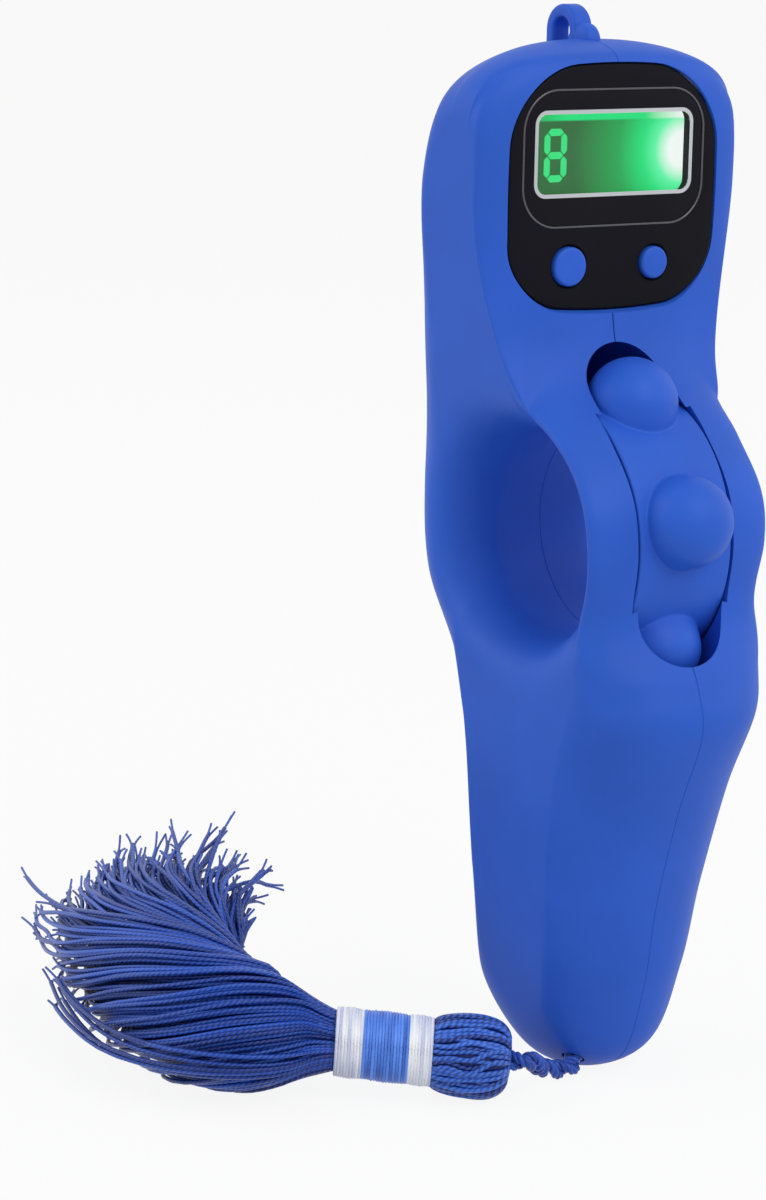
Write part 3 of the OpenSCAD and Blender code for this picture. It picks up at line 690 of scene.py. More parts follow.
def close_clouded(finish, cloud, stops, roughness, swing, relief, inputs):
    """End a finish whose colour and gloss follow a pattern; relief is (strength, depth in mm, pattern)."""
    tree = finish.node_tree
    strength, depth, height = relief
    tint = add_node(tree, "ValToRGB", {"Fac": cloud}, stops)
    gloss = add_node(tree, "MapRange", {
        "Value": cloud, "To Min": roughness - swing, "To Max": roughness + swing})
    bump = add_node(tree, "Bump", {"Strength": strength, "Distance": depth * MM, "Height": height})
    return close_finish(finish, {"Base Color": tint, "Roughness": gloss, "Normal": bump, **inputs})


def moulded_plastic(name, colour, roughness=0.5, grain=0.12, shine=0.2):
    """Plastic moulded against a finely eroded tool: slight clouding, a fine grain and a soft gloss.

    The real grain is finer, and is drawn as coarse as it needs to show."""
    cloud_size, grain_size = 12 * MM, 0.35 * MM
    finish, tree = new_finish(name)
    at = add_node(tree, "TexCoord").outputs["Object"]
    cloud = add_node(tree, "TexNoise", {"Vector": at, "Scale": 1 / cloud_size, "Detail": 3.0})
    fine = add_node(tree, "TexNoise", {"Vector": at, "Scale": 1 / grain_size})
    stops = [(0.3, shaded(colour, 0.93)), (0.7, shaded(colour, 1.06))]
    return close_clouded(finish, cloud, stops, roughness, 0.05, (grain, 0.04, fine),
                         {"IOR": 1.5, "Specular IOR Level": shine})


def clear_plastic(name, tint):
    """Cast clear plastic: see-through, with a faint haze of its own."""
    haze_size, haze = 3 * MM, 0.012
    finish, tree = new_finish(name)
    at = add_node(tree, "TexCoord").outputs["Object"]
    cloud = add_node(tree, "TexNoise", {"Vector": at, "Scale": 1 / haze_size})
    gloss = add_node(tree, "MapRange", {"Value": cloud, "To Min": 0.0, "To Max": haze})
    return close_finish(finish, {
        "Base Color": with_alpha(tint), "Roughness": gloss, "IOR": 1.25, "Transmission Weight": 1.0})


def rolled_metal(name, code, roughness):
    """Rolled or pressed metal: fine streaks along X in its colour, gloss and height."""
    streak_size, colour = 0.6 * MM, linear(code)
    finish, tree = new_finish(name)
    at = add_node(tree, "TexCoord").outputs["Object"]
    drawn = add_node(tree, "Mapping", {"Vector": at, "Scale": (0.08, 1, 1)})
    streak = add_node(tree, "TexNoise", {"Vector": drawn, "Scale": 1 / streak_size, "Detail": 3.0})
    stops = [(0.25, shaded(colour, 0.85)), (0.75, colour)]
    return close_clouded(finish, streak, stops, roughness, 0.08, (0.1, 0.02, streak), {"Metallic": 1.0})


def plain_resin(name, code, roughness, lump=1.2):
    """Cast or pressed resin and rubber: lightly clouded colour with soft lumps of a size in millimetres."""
    colour = linear(code)
    finish, tree = new_finish(name)
    at = add_node(tree, "TexCoord").outputs["Object"]
    cloud = add_node(tree, "TexNoise", {"Vector": at, "Scale": 1 / (lump * MM), "Detail": 3.0})
    stops = [(0.3, shaded(colour, 0.8)), (0.7, colour)]
    return close_clouded(finish, cloud, stops, roughness, 0.05, (0.15, 0.04, cloud), {})


def silk_thread(name, dark, light, sheen, twist=0.0, painted_tip_light=None, bound=None):
    """Spun silky thread: each strand has its own shade, and fine fibres run in its height and gloss.

    A twisted one shows two plies: a band on the thread's own map that goes round once in the given length.
    The band
    is in the relief and in the colour: painted shade in the grooves and a painted highlight on the crowns.
    A painted tip light fades it to that colour with the distance from the point where it is bound: painted
    light, paler and greyer towards the tips, where light from above falls on them. Real fibres are finer, and
    are drawn as coarse as they need to show."""
    fibre_size, fade_from, fade_to = 0.25 * MM, 16 * MM, 40 * MM
    finish, tree = new_finish(name)
    at = add_node(tree, "TexCoord").outputs["Object"]
    shade = add_node(tree, "Attribute", attribute_name="strand").outputs["Fac"]
    fibre = add_node(tree, "TexNoise", {"Vector": at, "Scale": 1 / fibre_size, "Detail": 3.0})
    change = add_node(tree, "MapRange", {"Value": fibre, "To Min": -0.2, "To Max": 0.2})
    tone = add_node(tree, "Math", {0: shade, 1: change}, operation="ADD")
    height = fibre
    if twist:
        on_thread = add_node(tree, "UVMap", uv_map="thread")
        plies = add_node(tree, "Mapping", {"Vector": on_thread, "Scale": (2 / twist, 2, 1)})
        part = add_node(tree, "SeparateXYZ", {"Vector": plies}).outputs
        turns = add_node(tree, "Math", {0: part["X"], 1: part["Y"]}, operation="ADD")
        wave = add_node(tree, "Math", {0: turns, 1: 0.5}, operation="PINGPONG")
        height = add_node(tree, "MapRange", {"Value": wave, "From Max": 0.5})
        # Painted shade in the grooves between the plies and a painted highlight on their crowns
        change = add_node(tree, "MapRange", {"Value": height, "To Min": -0.4, "To Max": 0.25})
        tone = add_node(tree, "Math", {0: tone, 1: change}, operation="ADD")
    colour = add_node(tree, "ValToRGB", {"Fac": tone}, [(0.0, dark), (1.0, light)])
    # Painted light: the thread grows paler and greyer with the distance from where it is bound
    if painted_tip_light:
        away = add_node(tree, "VectorMath", {0: at, 1: bound}, operation="DISTANCE").outputs["Value"]
        fade = add_node(tree, "MapRange", {
            "Value": away, "From Min": fade_from, "From Max": fade_to, "To Max": 0.35})
        colour = add_node(tree, "Mix", {0: fade, 6: colour, 7: with_alpha(painted_tip_light)}, data_type="RGBA").outputs[2]
    gloss = add_node(tree, "MapRange", {"Value": fibre, "To Min": 0.3, "To Max": 0.45})
    bump = add_node(tree, "Bump", {"Strength": 0.5, "Distance": 0.08 * MM, "Height": height})
    return close_finish(finish, {
        "Base Color": colour, "Roughness": gloss, "Specular IOR Level": 0.35, "Sheen Weight": sheen,
        "Sheen Roughness": 0.4, "Normal": bump})


def lit_display(name, dark, green, bright):
    """Lit display: dark at the left, green to the right, a pale glow by the lamp and a bright upper edge."""
    grain_size, glow_green, white = 0.4 * MM, (0.11, 0.93, 0.4), (0.95, 1.0, 0.97)
    reach = VIEW[0] / 2 * MM
    lamp = (reach, HOLE[1] + GLASS_Y * MM, HOLE[2] + VIEW_Z * MM)
    edge_from, edge_to = (HOLE[2] + (VIEW_Z + z) * MM for z in (3.3, 3.5))
    finish, tree = new_finish(name)
    at = add_node(tree, "TexCoord").outputs["Object"]
    part = add_node(tree, "SeparateXYZ", {"Vector": at}).outputs
    away = add_node(tree, "VectorMath", {0: at, 1: lamp}, operation="DISTANCE").outputs["Value"]
    near_lamp = add_node(tree, "MapRange", {
        "Value": away, "From Max": 2 * reach, "To Min": 1.0, "To Max": 0.0})
    body = add_node(tree, "ValToRGB", {"Fac": near_lamp}, [
        (0.0, dark), (0.3, dark), (0.58, green), (0.74, bright), (0.82, glow_green), (0.91, white)])
    across = add_node(tree, "MapRange", {"Value": part["X"], "From Min": -reach, "From Max": reach})
    edge = add_node(tree, "ValToRGB", {"Fac": across}, [
        (0.0, green), (0.25, bright), (0.75, bright), (1.0, white)])
    lift = add_node(tree, "MapRange", {"Value": part["Z"], "From Min": edge_from, "From Max": edge_to})
    glow = add_node(tree, "Mix", {0: lift, 6: body, 7: edge}, data_type="RGBA").outputs[2]
    fine = add_node(tree, "TexNoise", {"Vector": at, "Scale": 1 / grain_size})
    gloss = add_node(tree, "MapRange", {"Value": fine, "To Min": 0.1, "To Max": 0.2})
    return close_finish(finish, {
        "Base Color": with_alpha((0.01, 0.03, 0.015)), "Roughness": gloss, "Specular IOR Level": 0.08,
        "Emission Color": glow, "Emission Strength": 1.0})


def lit_segment(name, colour):
    """Lit segments of the display: an almost even glow."""
    grain_size = 0.5 * MM
    finish, tree = new_finish(name)
    at = add_node(tree, "TexCoord").outputs["Object"]
    fine = add_node(tree, "TexNoise", {"Vector": at, "Scale": 1 / grain_size})
    glow = add_node(tree, "ValToRGB", {"Fac": fine}, [(0.0, shaded(colour, 0.9)), (1.0, colour)])
    return close_finish(finish, {
        "Base Color": with_alpha((0.02, 0.1, 0.04)), "Roughness": 0.3, "Specular IOR Level": 0.08,
        "Emission Color": glow, "Emission Strength": 1.0})


# Settings


def length_setting(name, words, default):
    """A length in metres."""
    return FloatProperty(name=name, description=words, default=default, min=0.0, unit="LENGTH", precision=5)


def power_setting(name, words, default):
    """A lamp's power in watts."""
    return FloatProperty(name=name, description=words, default=default, min=0, unit="POWER")


def colour_setting(name, words, code):
    """A colour, given as an sRGB hex code."""
    return FloatVectorProperty(name=name, description=words, default=linear(code), subtype="COLOR", size=3,
                               min=0, max=1)


class TallyCaseSettings(bpy.types.PropertyGroup):
    """Case, bead wheel and buttons."""
    blue: colour_setting("Case blue", "Colour of the moulded case", "#2A5CC8")
    wheel_blue: colour_setting("Wheel blue", "Colour of the bead wheel and the buttons", "#2B5ECC")
    groove_w: length_setting("Seam width", "Half the width of the groove at the seam", 0.0001)
    groove_d: length_setting("Seam depth", "Depth of the groove at the seam", 0.00008)
    bead_fillet: length_setting("Bead fillet", "Radius of the fillet at the foot of a bead", 0.00025)
    band_edge: length_setting("Band edge", "Radius of the band's edges", 0.0003)


class TallyDisplaySettings(bpy.types.PropertyGroup):
    """Bezel, lens and display."""
    black: colour_setting("Bezel black", "Colour of the bezel", "#121219")
    dark: colour_setting("Unlit green", "Colour of the display far from the lamp", "#246630")
    green: colour_setting("Lit green", "Colour of the display near the lamp", "#0CA54C")
    bright: colour_setting("Glow", "Colour of the display at the lamp", "#06E27C")
    digit: colour_setting("Digit", "Colour of a lit segment", "#2BE27C")
    frame_w: length_setting("Frame width", "Width of the display's bright frame", 0.00038)


class TallyTasselSettings(bpy.types.PropertyGroup):
    """Tassel."""
    blue: colour_setting("Thread blue", "Colour of the skirt, knob and cord", "#3166D8")
    deep: colour_setting("Deep blue", "Colour of the darkest threads", "#091E66")
    white: colour_setting("White thread", "Colour of the white bindings", "#FCFDFF")
    pale: colour_setting("Light blue thread", "Colour of the blue binding", "#669DFB")
    strands: IntProperty(name="Strands", description="Number of threads in the skirt", default=500, min=40)
    thread_d: length_setting("Thread", "Diameter of a thread", 0.00052)
    turn: FloatProperty(name="Turn", description="How far the skirt turns about itself", default=2.6,
                        subtype="ANGLE")
    seed: IntProperty(name="Seed", description="Start of the random spread of the threads", default=7)


class TallyStageSettings(bpy.types.PropertyGroup):
    """Floor, light and camera."""
    floor: colour_setting("Floor", "Colour of the floor", "#E6E6E6")
    key: power_setting("Key light", "Power of the large lamp", 2.4)
    fill: power_setting("Fill light", "Power of the lamp on the right", 0.6)
    side: power_setting("Side light", "Power of the lamp behind on the left", 1.6)
    sky: FloatProperty(name="Room light", description="Strength of the even light", default=0.55, min=0)


# Operators


class TallyOperator:
    """Shared settings of the operators."""
    bl_options = {"REGISTER", "UNDO"}


class OBJECT_OT_tally_case(TallyOperator, bpy.types.Operator):
    """Build both case halves"""
    bl_idname = "object.tally_case"
    bl_label = "Case halves"

    def execute(self, context):
        settings = context.scene.tally_case
        finish = moulded_plastic("moulded_case_blue", settings.blue)
        for side, node in ((-1, "left_shell"), (1, "right_shell")):
            half = case_half(side, settings.groove_w / MM, settings.groove_d / MM)
            cuts = [("UNION", lug_half(side)), ("UNION", lug_foot(side))]
            cuts += [("DIFFERENCE", skin) for skin in case_cutters(side)]
            put_piece(f"{node}_moulded", half, finish, "case", "case_blue", node, cuts=cuts)
        return {"FINISHED"}


class OBJECT_OT_tally_door(TallyOperator, bpy.types.Operator):
    """Build the battery door"""
    bl_idname = "object.tally_door"
    bl_label = "Battery door"

    def execute(self, context):
        finish = moulded_plastic("moulded_door_blue", context.scene.tally_case.blue)
        x, z = DOOR_SCREW
        cuts = [("INTERSECT", plate(DOOR, DOOR_Z, [(DOOR_Y, 0), (FAR, 0)])),
                ("DIFFERENCE", rod((x, DOOR_Y - OVER, z), (x, FAR, z), SCREW_HOLE_R)),
                ("DIFFERENCE", rod((x, DOOR_Y + DOOR_SCREW_SEAT, z), (x, FAR, z), SCREW_HEAD_R))]
        put_piece("battery_door_moulded", whole_skin(), finish, "door", "case_blue", "battery_door",
                  cuts=cuts)
        return {"FINISHED"}


def bead_dome(fillet, middle):
    """One bead: a ball profile that runs out through a fillet onto the band, turned about the bead's axis.

    The foot is let down by the band's own curve, less and less towards the top."""
    reach = BEAD_R + fillet
    foot = math.sqrt(reach ** 2 - fillet ** 2)
    meet = math.degrees(math.acos(fillet / reach))
    ball = np.radians(np.linspace(0.5, meet, 40))
    profile = np.concatenate([
        np.stack([BEAD_R * np.sin(ball), BEAD_R * np.cos(ball)], 1),
        quarter((foot, fillet), fillet, 270 - meet, 270, 9)[1:], [[foot, -BEAD_ROOT]]])
    turn = full_turn(96)
    x, across = profile[:, :1] * np.cos(turn), profile[:, :1] * np.sin(turn)
    height = profile[:, 1:]
    let_down = (1 - eased(height / (BEAD_R / 2))) * (np.sqrt(RING_R ** 2 - across ** 2) - RING_R)
    r, a = RING_R + height + let_down, math.radians(middle)
    y, z = -r * math.cos(a) + across * math.sin(a), r * math.sin(a) + across * math.cos(a)
    return closed_loft(np.stack([x, y, z], -1))


class OBJECT_OT_tally_wheel(TallyOperator, bpy.types.Operator):
    """Build the bead wheel"""
    bl_idname = "object.tally_wheel"
    bl_label = "Bead wheel"

    def execute(self, context):
        settings = context.scene.tally_case
        finish = moulded_plastic("moulded_wheel_blue", settings.wheel_blue, 0.48)
        edge, half = settings.band_edge / MM, BAND_W / 2
        band = turned_x(np.concatenate([
            [[-half, BORE_R], [half, BORE_R]], quarter((half - edge, RING_R - edge), edge, 0, 90),
            quarter((edge - half, RING_R - edge), edge, 90, 180)]))
        turns = [BEAD_TURN + 360 / BEAD_COUNT * k for k in range(BEAD_COUNT)]
        beads = [bead_dome(settings.bead_fillet / MM, turn) for turn in turns]
        wheel = join_parts([band] + beads)
        put_piece("bead_wheel_moulded", wheel, finish, "wheel", "wheel_blue", "bead_wheel", angle=50)
        return {"FINISHED"}


def button_hole(x, radius):
    """Hole for a button through the bezel, with a bevel at its mouth."""
    inner, mouth = radius + FIT_GAP, radius + FIT_GAP + BUTTON_BEVEL
    profile = np.array([[mouth, BEZEL_Y - OVER], [mouth, BEZEL_Y], [inner, BEZEL_Y + BUTTON_BEVEL],
                        [inner, BEZEL_THROUGH]])
    return turned_on((x, 0, BUTTON_Z), (0, 1, 0), profile, 64)


class OBJECT_OT_tally_bezel(TallyOperator, bpy.types.Operator):
    """Build the bezel and its lens"""
    bl_idname = "object.tally_bezel"
    bl_label = "Bezel and lens"

    def execute(self, context):
        colour = context.scene.tally_display.black
        black = moulded_plastic("moulded_bezel_black", colour, 0.45, 0.02, 0.06)
        printed = moulded_plastic("printed_lens_black", colour, 0.3, 0.01, 0.08)
        clear = clear_plastic("clear_lens", (0.9, 0.92, 0.92))
        # The lens edge's grey colour is a painted highlight; its gloss is real
        polished = moulded_plastic("polished_lens_edge_painted_highlight", linear("#36363E"), 0.2, 0.02, 0.8)
        lens_back, fine = LENS_Y + LENS_T, 24
        view = ("DIFFERENCE", plate(VIEW, VIEW_Z, [(-BEZEL_THROUGH, 0), (BEZEL_THROUGH, 0)]))
        seat = ("DIFFERENCE", plate(LENS, LENS_Z, [(-BEZEL_THROUGH, FIT_GAP), (lens_back, FIT_GAP)], fine))
        holes = [("DIFFERENCE", button_hole(x, r)) for x, r in ((-BUTTON_X, LIGHT_R), (BUTTON_X, RESET_R))]
        bezel = plate(BEZEL, BEZEL_Z, round_over(BEZEL_Y, BEZEL_EDGE) + [(BEZEL_BACK, 0)], fine)
        put_piece("display_bezel_moulded", bezel, black, "case", "bezel_black", "display_bezel",
                  cuts=[seat, view, *holes])
        # The lens is printed black behind its border and clear in the window
        border = plate(LENS, LENS_Z, round_over(LENS_Y, LENS_EDGE) + [(lens_back, 0)], fine)
        put_piece("display_lens_border", border, printed, "case", "lens_clear", "display_lens", cuts=[view])
        window = plate(VIEW, VIEW_Z, [(LENS_Y, 0), (lens_back, 0)])
        put_piece("display_lens_window", window, clear, "case", "lens_clear")
        # The lens's polished edge shows as a fine grey line: its gloss takes real highlights, and its grey
        # colour, lighter than the black, is a painted highlight
        outer, crest, inner = 0.1, -0.02, -0.14
        root, shoulder, top = LENS_Y + 0.1, LENS_Y - 0.08, LENS_Y - 0.14
        stations = [(root, outer), (shoulder, outer), (top, crest), (shoulder, inner), (root, inner)]
        edge = frame_round(LENS, LENS_Z, stations)
        put_piece("display_lens_edge", edge, polished, "case", "lens_clear", angle=80)
        return {"FINISHED"}


def segment(x, z, length, upright):
    """One bar of a digit, with both ends cut to a point."""
    half, thick, behind, deep = length / 2, 0.38, 0.03, 0.06
    bar = np.array([[-half, 0], [thick - half, -thick], [half - thick, -thick], [half, 0],
                    [half - thick, thick], [thick - half, thick]])
    flat = (bar[:, ::-1] * [-1, 1] if upright else bar) + [x, z + VIEW_Z]
    face = GLASS_Y - behind
    return closed_loft(np.array([np.insert(flat, 1, y, axis=1) for y in (face, face - deep)]))


class OBJECT_OT_tally_display(TallyOperator, bpy.types.Operator):
    """Build the lit display, its frame and its digit"""
    bl_idname = "object.tally_display"
    bl_label = "Display"

    def execute(self, context):
        settings = context.scene.tally_display
        lit = lit_display("lit_display_green", settings.dark, settings.green, settings.bright)
        silver = moulded_plastic("printed_frame_silver", linear("#BEC2C6"), 0.3, 0.02, 0.5)
        glowing = lit_segment("lit_segment_green", settings.digit)
        panel = [(GLASS_Y, -GLASS_EDGE), (GLASS_Y + GLASS_EDGE, 0), (GLASS_Y + GLASS_T, 0)]
        put_piece("lcd_panel_lit", plate(GLASS, VIEW_Z, panel, 6), lit, "case", "display_glass", "lcd_panel")
        outer, inner = 0.04, -settings.frame_w / MM
        front, back = LENS_Y - 0.04, LENS_Y + 0.02
        stations = [(back, outer), (front, outer), (front, inner), (back, inner)]
        put_piece("display_frame", frame_round(VIEW, VIEW_Z, stations), silver, "case", "steel")
        lower, middle, upper, left, right, level_l, upright_l = -2.72, -0.26, 2.2, -7.8, -5.6, 2.0, 2.25
        bars = [((left + right) / 2, z, level_l, False) for z in (lower, middle, upper)]
        bars += [(x, (z + middle) / 2, upright_l, True) for x in (left, right) for z in (lower, upper)]
        digit = join_parts([segment(*bar) for bar in bars])
        put_piece("display_digit", digit, glowing, "case", "display_glass")
        return {"FINISHED"}


class OBJECT_OT_tally_buttons(TallyOperator, bpy.types.Operator):
    """Build the two push buttons"""
    bl_idname = "object.tally_buttons"
    bl_label = "Buttons"

    def execute(self, context):
        finish = moulded_plastic("moulded_button_blue", context.scene.tally_case.wheel_blue, 0.4, 0.1)
        face, soft, middle_r = BEZEL_Y - BUTTON_OUT, 0.35, 0.05
        brim, brim_front, brim_back, stem_r, stem_end = 0.7, BEZEL_BACK + 0.1, BEZEL_BACK + 0.7, 1.1, 3.4
        for body, x, r in (("light", -BUTTON_X, LIGHT_R), ("reset", BUTTON_X, RESET_R)):
            profile = np.concatenate([
                [[middle_r, face]], quarter((r - soft, face + soft), soft, -90, 0),
                [[r, brim_front], [r + brim, brim_front], [r + brim, brim_back], [stem_r, brim_back],
                 [stem_r, stem_end], [middle_r, stem_end]]])
            button = turned_on((x, 0, BUTTON_Z), (0, 1, 0), profile, 72)
            put_piece(f"{body}_button_moulded", button, finish, body, "wheel_blue", f"{body}_button")
        return {"FINISHED"}


class OBJECT_OT_tally_inner(TallyOperator, bpy.types.Operator):
    """Finish the inner pieces and the screws"""
    bl_idname = "object.tally_inner"
    bl_label = "Inner pieces"

    def execute(self, context):
        steel = rolled_metal("plated_steel", "#B9BDC4", 0.32)
        brass = rolled_metal("spring_brass", "#C8B07A", 0.35)
        finishes = {
            "backlight_plate": plain_resin("light_guide_acrylic", "#E4F2DF", 0.3),
            "backlight_led": plain_resin("lamp_resin", "#F1F5E6", 0.35),
            "zebra_strip": plain_resin("contact_rubber", "#3B3F46", 0.7, 0.4),
            "circuit_board": plain_resin("board_lacquer", "#2F6B3C", 0.4, 0.8),
            "chip_blob": plain_resin("potting_resin", "#17181B", 0.3),
            "count_switch": plain_resin("switch_housing", "#23252A", 0.5),
            "battery_cells": rolled_metal("cell_can", "#C9CCD1", 0.28),
            "battery_contacts": brass, "contact_bridge": brass, "button_domes": steel, "click_spring": steel,
            "door_screw": steel, "case_screws": steel}
        for name, finish in finishes.items():
            mesh = frame["nodes"][name].data
            mesh.materials.clear()
            mesh.materials.append(finish)
        return {"FINISHED"}


# Tassel


def frame_of(paths):
    """Ways along paths (paths, points, 3), and two directions square to each way."""
    way = unit(np.gradient(paths, axis=1))
    side = unit(np.cross(way, [0.31, 0.17, 0.93]))
    return way, side, np.cross(way, side)


def tubes(paths, radius, around):
    """Points and faces of round tubes along many paths: circles square to each path, closed at both ends."""
    _, side, up = frame_of(paths)
    turn = full_turn(around)[:, None]
    points = paths[:, :, None] + radius * (side[:, :, None] * np.cos(turn) + up[:, :, None] * np.sin(turn))
    strands, rows = paths.shape[:2]
    first = np.arange(strands) * rows * around
    quads = grid_faces(rows, around)[:, ::-1][None] + first[:, None, None]
    ends = np.arange(around)[None] + first[:, None]
    faces = quads.reshape(-1, 4).tolist() + ends[:, ::-1].tolist() + (ends + (rows - 1) * around).tolist()
    return points.reshape(-1, 3), faces


def thread_map(mesh, paths, around):
    """Map of tubes: U is the distance along a thread in millimetres, V goes once round it; ends get none."""
    run = run_of(paths)
    u = np.stack([run[:, :-1], run[:, 1:], run[:, 1:], run[:, :-1]], -1)[:, :, None]
    v = (np.arange(around)[:, None] + [1, 1, 0, 0]) / around
    quads = np.stack(np.broadcast_arrays(u, v), -1).ravel()
    ends = np.zeros(4 * len(paths) * around)
    mesh.uv_layers.new(name="thread").data.foreach_set("uv", np.concatenate([quads, ends]).astype(np.float32))


def store_shades(mesh, shades):
    """Store each point's shade, which the thread's finish reads."""
    mesh.attributes.new("strand", "FLOAT", "POINT").data.foreach_set("value", shades.astype(np.float32))


def put_strands(name, paths, radius, shades, finish, around, *nodes):
    """Make one blue piece of many tubes, each with its own shade, and place it."""
    obj = new_object(name, *tubes(paths, radius, around), finish)
    store_shades(obj.data, np.repeat(shades, paths.shape[1] * around))
    thread_map(obj.data, paths, around)
    soften(obj, 80)
    place(obj, "case", "thread_blue", *nodes)


def plied(paths, lay, reach, count):
    """Each path split into plies that go round it: circles of a radius square to it, one turn in a length."""
    _, side, up = frame_of(paths)
    turn = (2 * np.pi * run_of(paths) / lay + full_turn(count)[:, None, None])[..., None]
    return (paths + reach * (np.cos(turn) * side + np.sin(turn) * up)).reshape(-1, *paths.shape[1:])


def tassel_axis():
    """Start and way of the tassel's head, from the cord towards the skirt."""
    turn, lift = math.radians(KNOB_TURN), math.radians(KNOB_LIFT)
    way = np.array([math.cos(turn) * math.cos(lift), math.sin(turn) * math.cos(lift), math.sin(lift)])
    return above_floor(KNOB_AT) - way * KNOB_L / 2, way


def barrel(t, start, middle, end):
    """Radius along a barrel: a superellipse that swells from one end to the middle and back."""
    power = 2.4
    edge = np.where(t < 0.5, start, end)
    return edge + (middle - edge) * (1 - np.abs(2 * t - 1) ** power) ** (1 / power)


def around_axis(at, way, along, radius, turn):
    """Points at a distance along an axis, a radius from it and an angle round it."""
    side = unit(np.cross(way, [0, 0, 1]))
    up = np.cross(side, way)
    return (at + along[..., None] * way + (radius * np.cos(turn))[..., None] * side
            + (radius * np.sin(turn))[..., None] * up)


def put_cord(random, finish):
    """The cord: two strands twisted about the route from the case to the knob, each of three plies."""
    strand_lay, strand_reach, ply_lay, ply_reach, ply_r = 5.0, 0.3 * CORD_D, 2.2, 0.28, 0.32
    route = open_spline(above_floor(CORD_POINTS), 180)[None]
    plies = plied(plied(route, strand_lay, strand_reach, 2), ply_lay, ply_reach, 3)
    shades = random.uniform(0.2, 0.7, len(plies))
    put_strands("tassel_cord_twisted", plies, ply_r, shades, finish, 8, "tassel_cord")


def knob_radius(t):
    """Radius along the knob from the cord to the binding: it rounds up quickly, then narrows slowly."""
    cord_end, inset, bound_inset = 1.0, 0.35, 1.1
    return barrel(t ** 0.85, cord_end, KNOB_R - inset, BINDING_R - bound_inset)


def put_knob(random, finish, inner_finish):
    """The knob: a folded bundle, whose yarns run lengthwise and draw together at the cord, and its core."""
    yarns, rows, yarn_r, core_share = 62, 50, 0.27, 0.94
    at, way = tassel_axis()
    t = np.linspace(0.0, 1.0, rows)
    round_knob = full_turn(yarns)[:, None]
    slant = random.normal(0.25, 0.22, (yarns, 1)) * (t - 0.5)
    slant = slant + random.normal(0, 0.05, (yarns, 1)) * np.sin(3 * np.pi * t)
    radius = knob_radius(t) + random.normal(0, 0.14, (yarns, 1)) * np.sin(np.pi * t)
    lines = around_axis(at, way, t * KNOB_L + 0 * round_knob, radius, round_knob + slant)
    shades = random.uniform(0.1, 0.8, yarns)
    put_strands("tassel_knob_yarns", lines, yarn_r, shades, finish, 8, "tassel_knob")
    # The core has no shades of its own, so it takes near the darkest thread colour: painted shade in the gaps
    # between the yarns
    t = t[:, None]
    core = around_axis(at, way, t * KNOB_L, core_share * knob_radius(t), full_turn(48)[None])
    put_piece("tassel_knob_core", closed_loft(core), inner_finish, "case", "thread_blue")


def wound_band(random, start, length):
    """One band of fine thread wound side by side and a little askew, and its core: skins and their shades."""
    pitch, thread_r, facets, around, changes, core_shade = 0.32, 0.2, 48, 8, 5, 0.3
    askew, askew_turn = 0.22, 1.2
    at, way = tassel_axis()
    laps = int(length / pitch)

    def on_band(t, turn, end_inset, middle_inset, loose=0.0):
        end_r = BINDING_R - end_inset
        radius = barrel(t, end_r, BINDING_R - middle_inset, end_r) + loose
        along = KNOB_L + start + t * length + askew * np.cos(turn - askew_turn)
        return around_axis(at, way, along, radius, turn)

    t = np.linspace(0.015, 0.985, laps * facets)
    loose = np.repeat(random.normal(0, 0.025, laps), facets)
    thread = tubes(on_band(t, 2 * np.pi * laps * t, 0.6, 0.42, loose)[None], thread_r, around)
    core = closed_loft(on_band(np.linspace(0, 1, 12)[:, None], full_turn(64)[None], 0.75, 0.5))
    knots = np.arange(laps * changes + 1)
    shades = np.interp(t * laps * changes, knots, random.uniform(0.1, 1.1, len(knots)))
    return [thread, core], [np.repeat(shades, around), np.full(len(core[0]), core_shade)]


def put_binding(random, name, finish, slot, bands):
    """One colour of binding, of bands that start at a distance from the knob and have a length."""
    parts, shades = [], []
    for start, length in bands:
        some_parts, some_shades = wound_band(random, start, length)
        parts += some_parts
        shades += some_shades
    band = put_piece(f"{name}_wound", join_parts(parts), finish, "case", slot, name, angle=80)
    store_shades(band.data, np.concatenate(shades))


class OBJECT_OT_tally_tassel_head(TallyOperator, bpy.types.Operator):
    """Build the tassel's cord, knob and bindings"""
    bl_idname = "object.tally_tassel_head"
    bl_label = "Tassel head"

    def execute(self, context):
        settings = context.scene.tally_tassel
        random = np.random.default_rng(settings.seed)
        blue = silk_thread("twisted_blue_thread", settings.deep, settings.blue, 0.1)
        # Its light end is partly a painted highlight on the crowns of the knob's twisted plies
        spun = silk_thread("spun_knob_thread", settings.deep, linear("#4C84F6"), 0.0, 1.4)
        white = silk_thread("wound_white_thread", linear("#BAC5E6"), settings.white, 0.1)
        pale = silk_thread("wound_light_blue_thread", linear("#2450B4"), settings.pale, 0.1)
        put_cord(random, blue)
        put_knob(random, spun, blue)
        put_binding(random, "binding_white", white, "thread_white",
                    [(0.0, WHITE_L), (WHITE_L + BLUE_L, TAIL_WHITE_L)])
        put_binding(random, "binding_blue", pale, "thread_light_blue", [(WHITE_L, BLUE_L)])
        return {"FINISHED"}


def skirt_line(bound, way):
    """The skirt's middle line from where it is bound, its half width and height, and the ways across it."""
    neck = [[*(bound - 1.5 * way), 3.0, 3.0], [*bound, 3.35, 3.35], [*(bound + 3.2 * way), 4.7, 4.6]]
    line = open_spline(np.concatenate([neck, above_floor(SKIRT)]), SKIRT_STEPS)
    middle, wide, high = line[:, :3], line[:, 3], line[:, 4]
    run = unit(np.gradient(middle, axis=0))
    side = unit(np.stack([run[:, 1], -run[:, 0], np.zeros(SKIRT_STEPS)], 1))
    return middle, wide, high, side, np.cross(side, run)


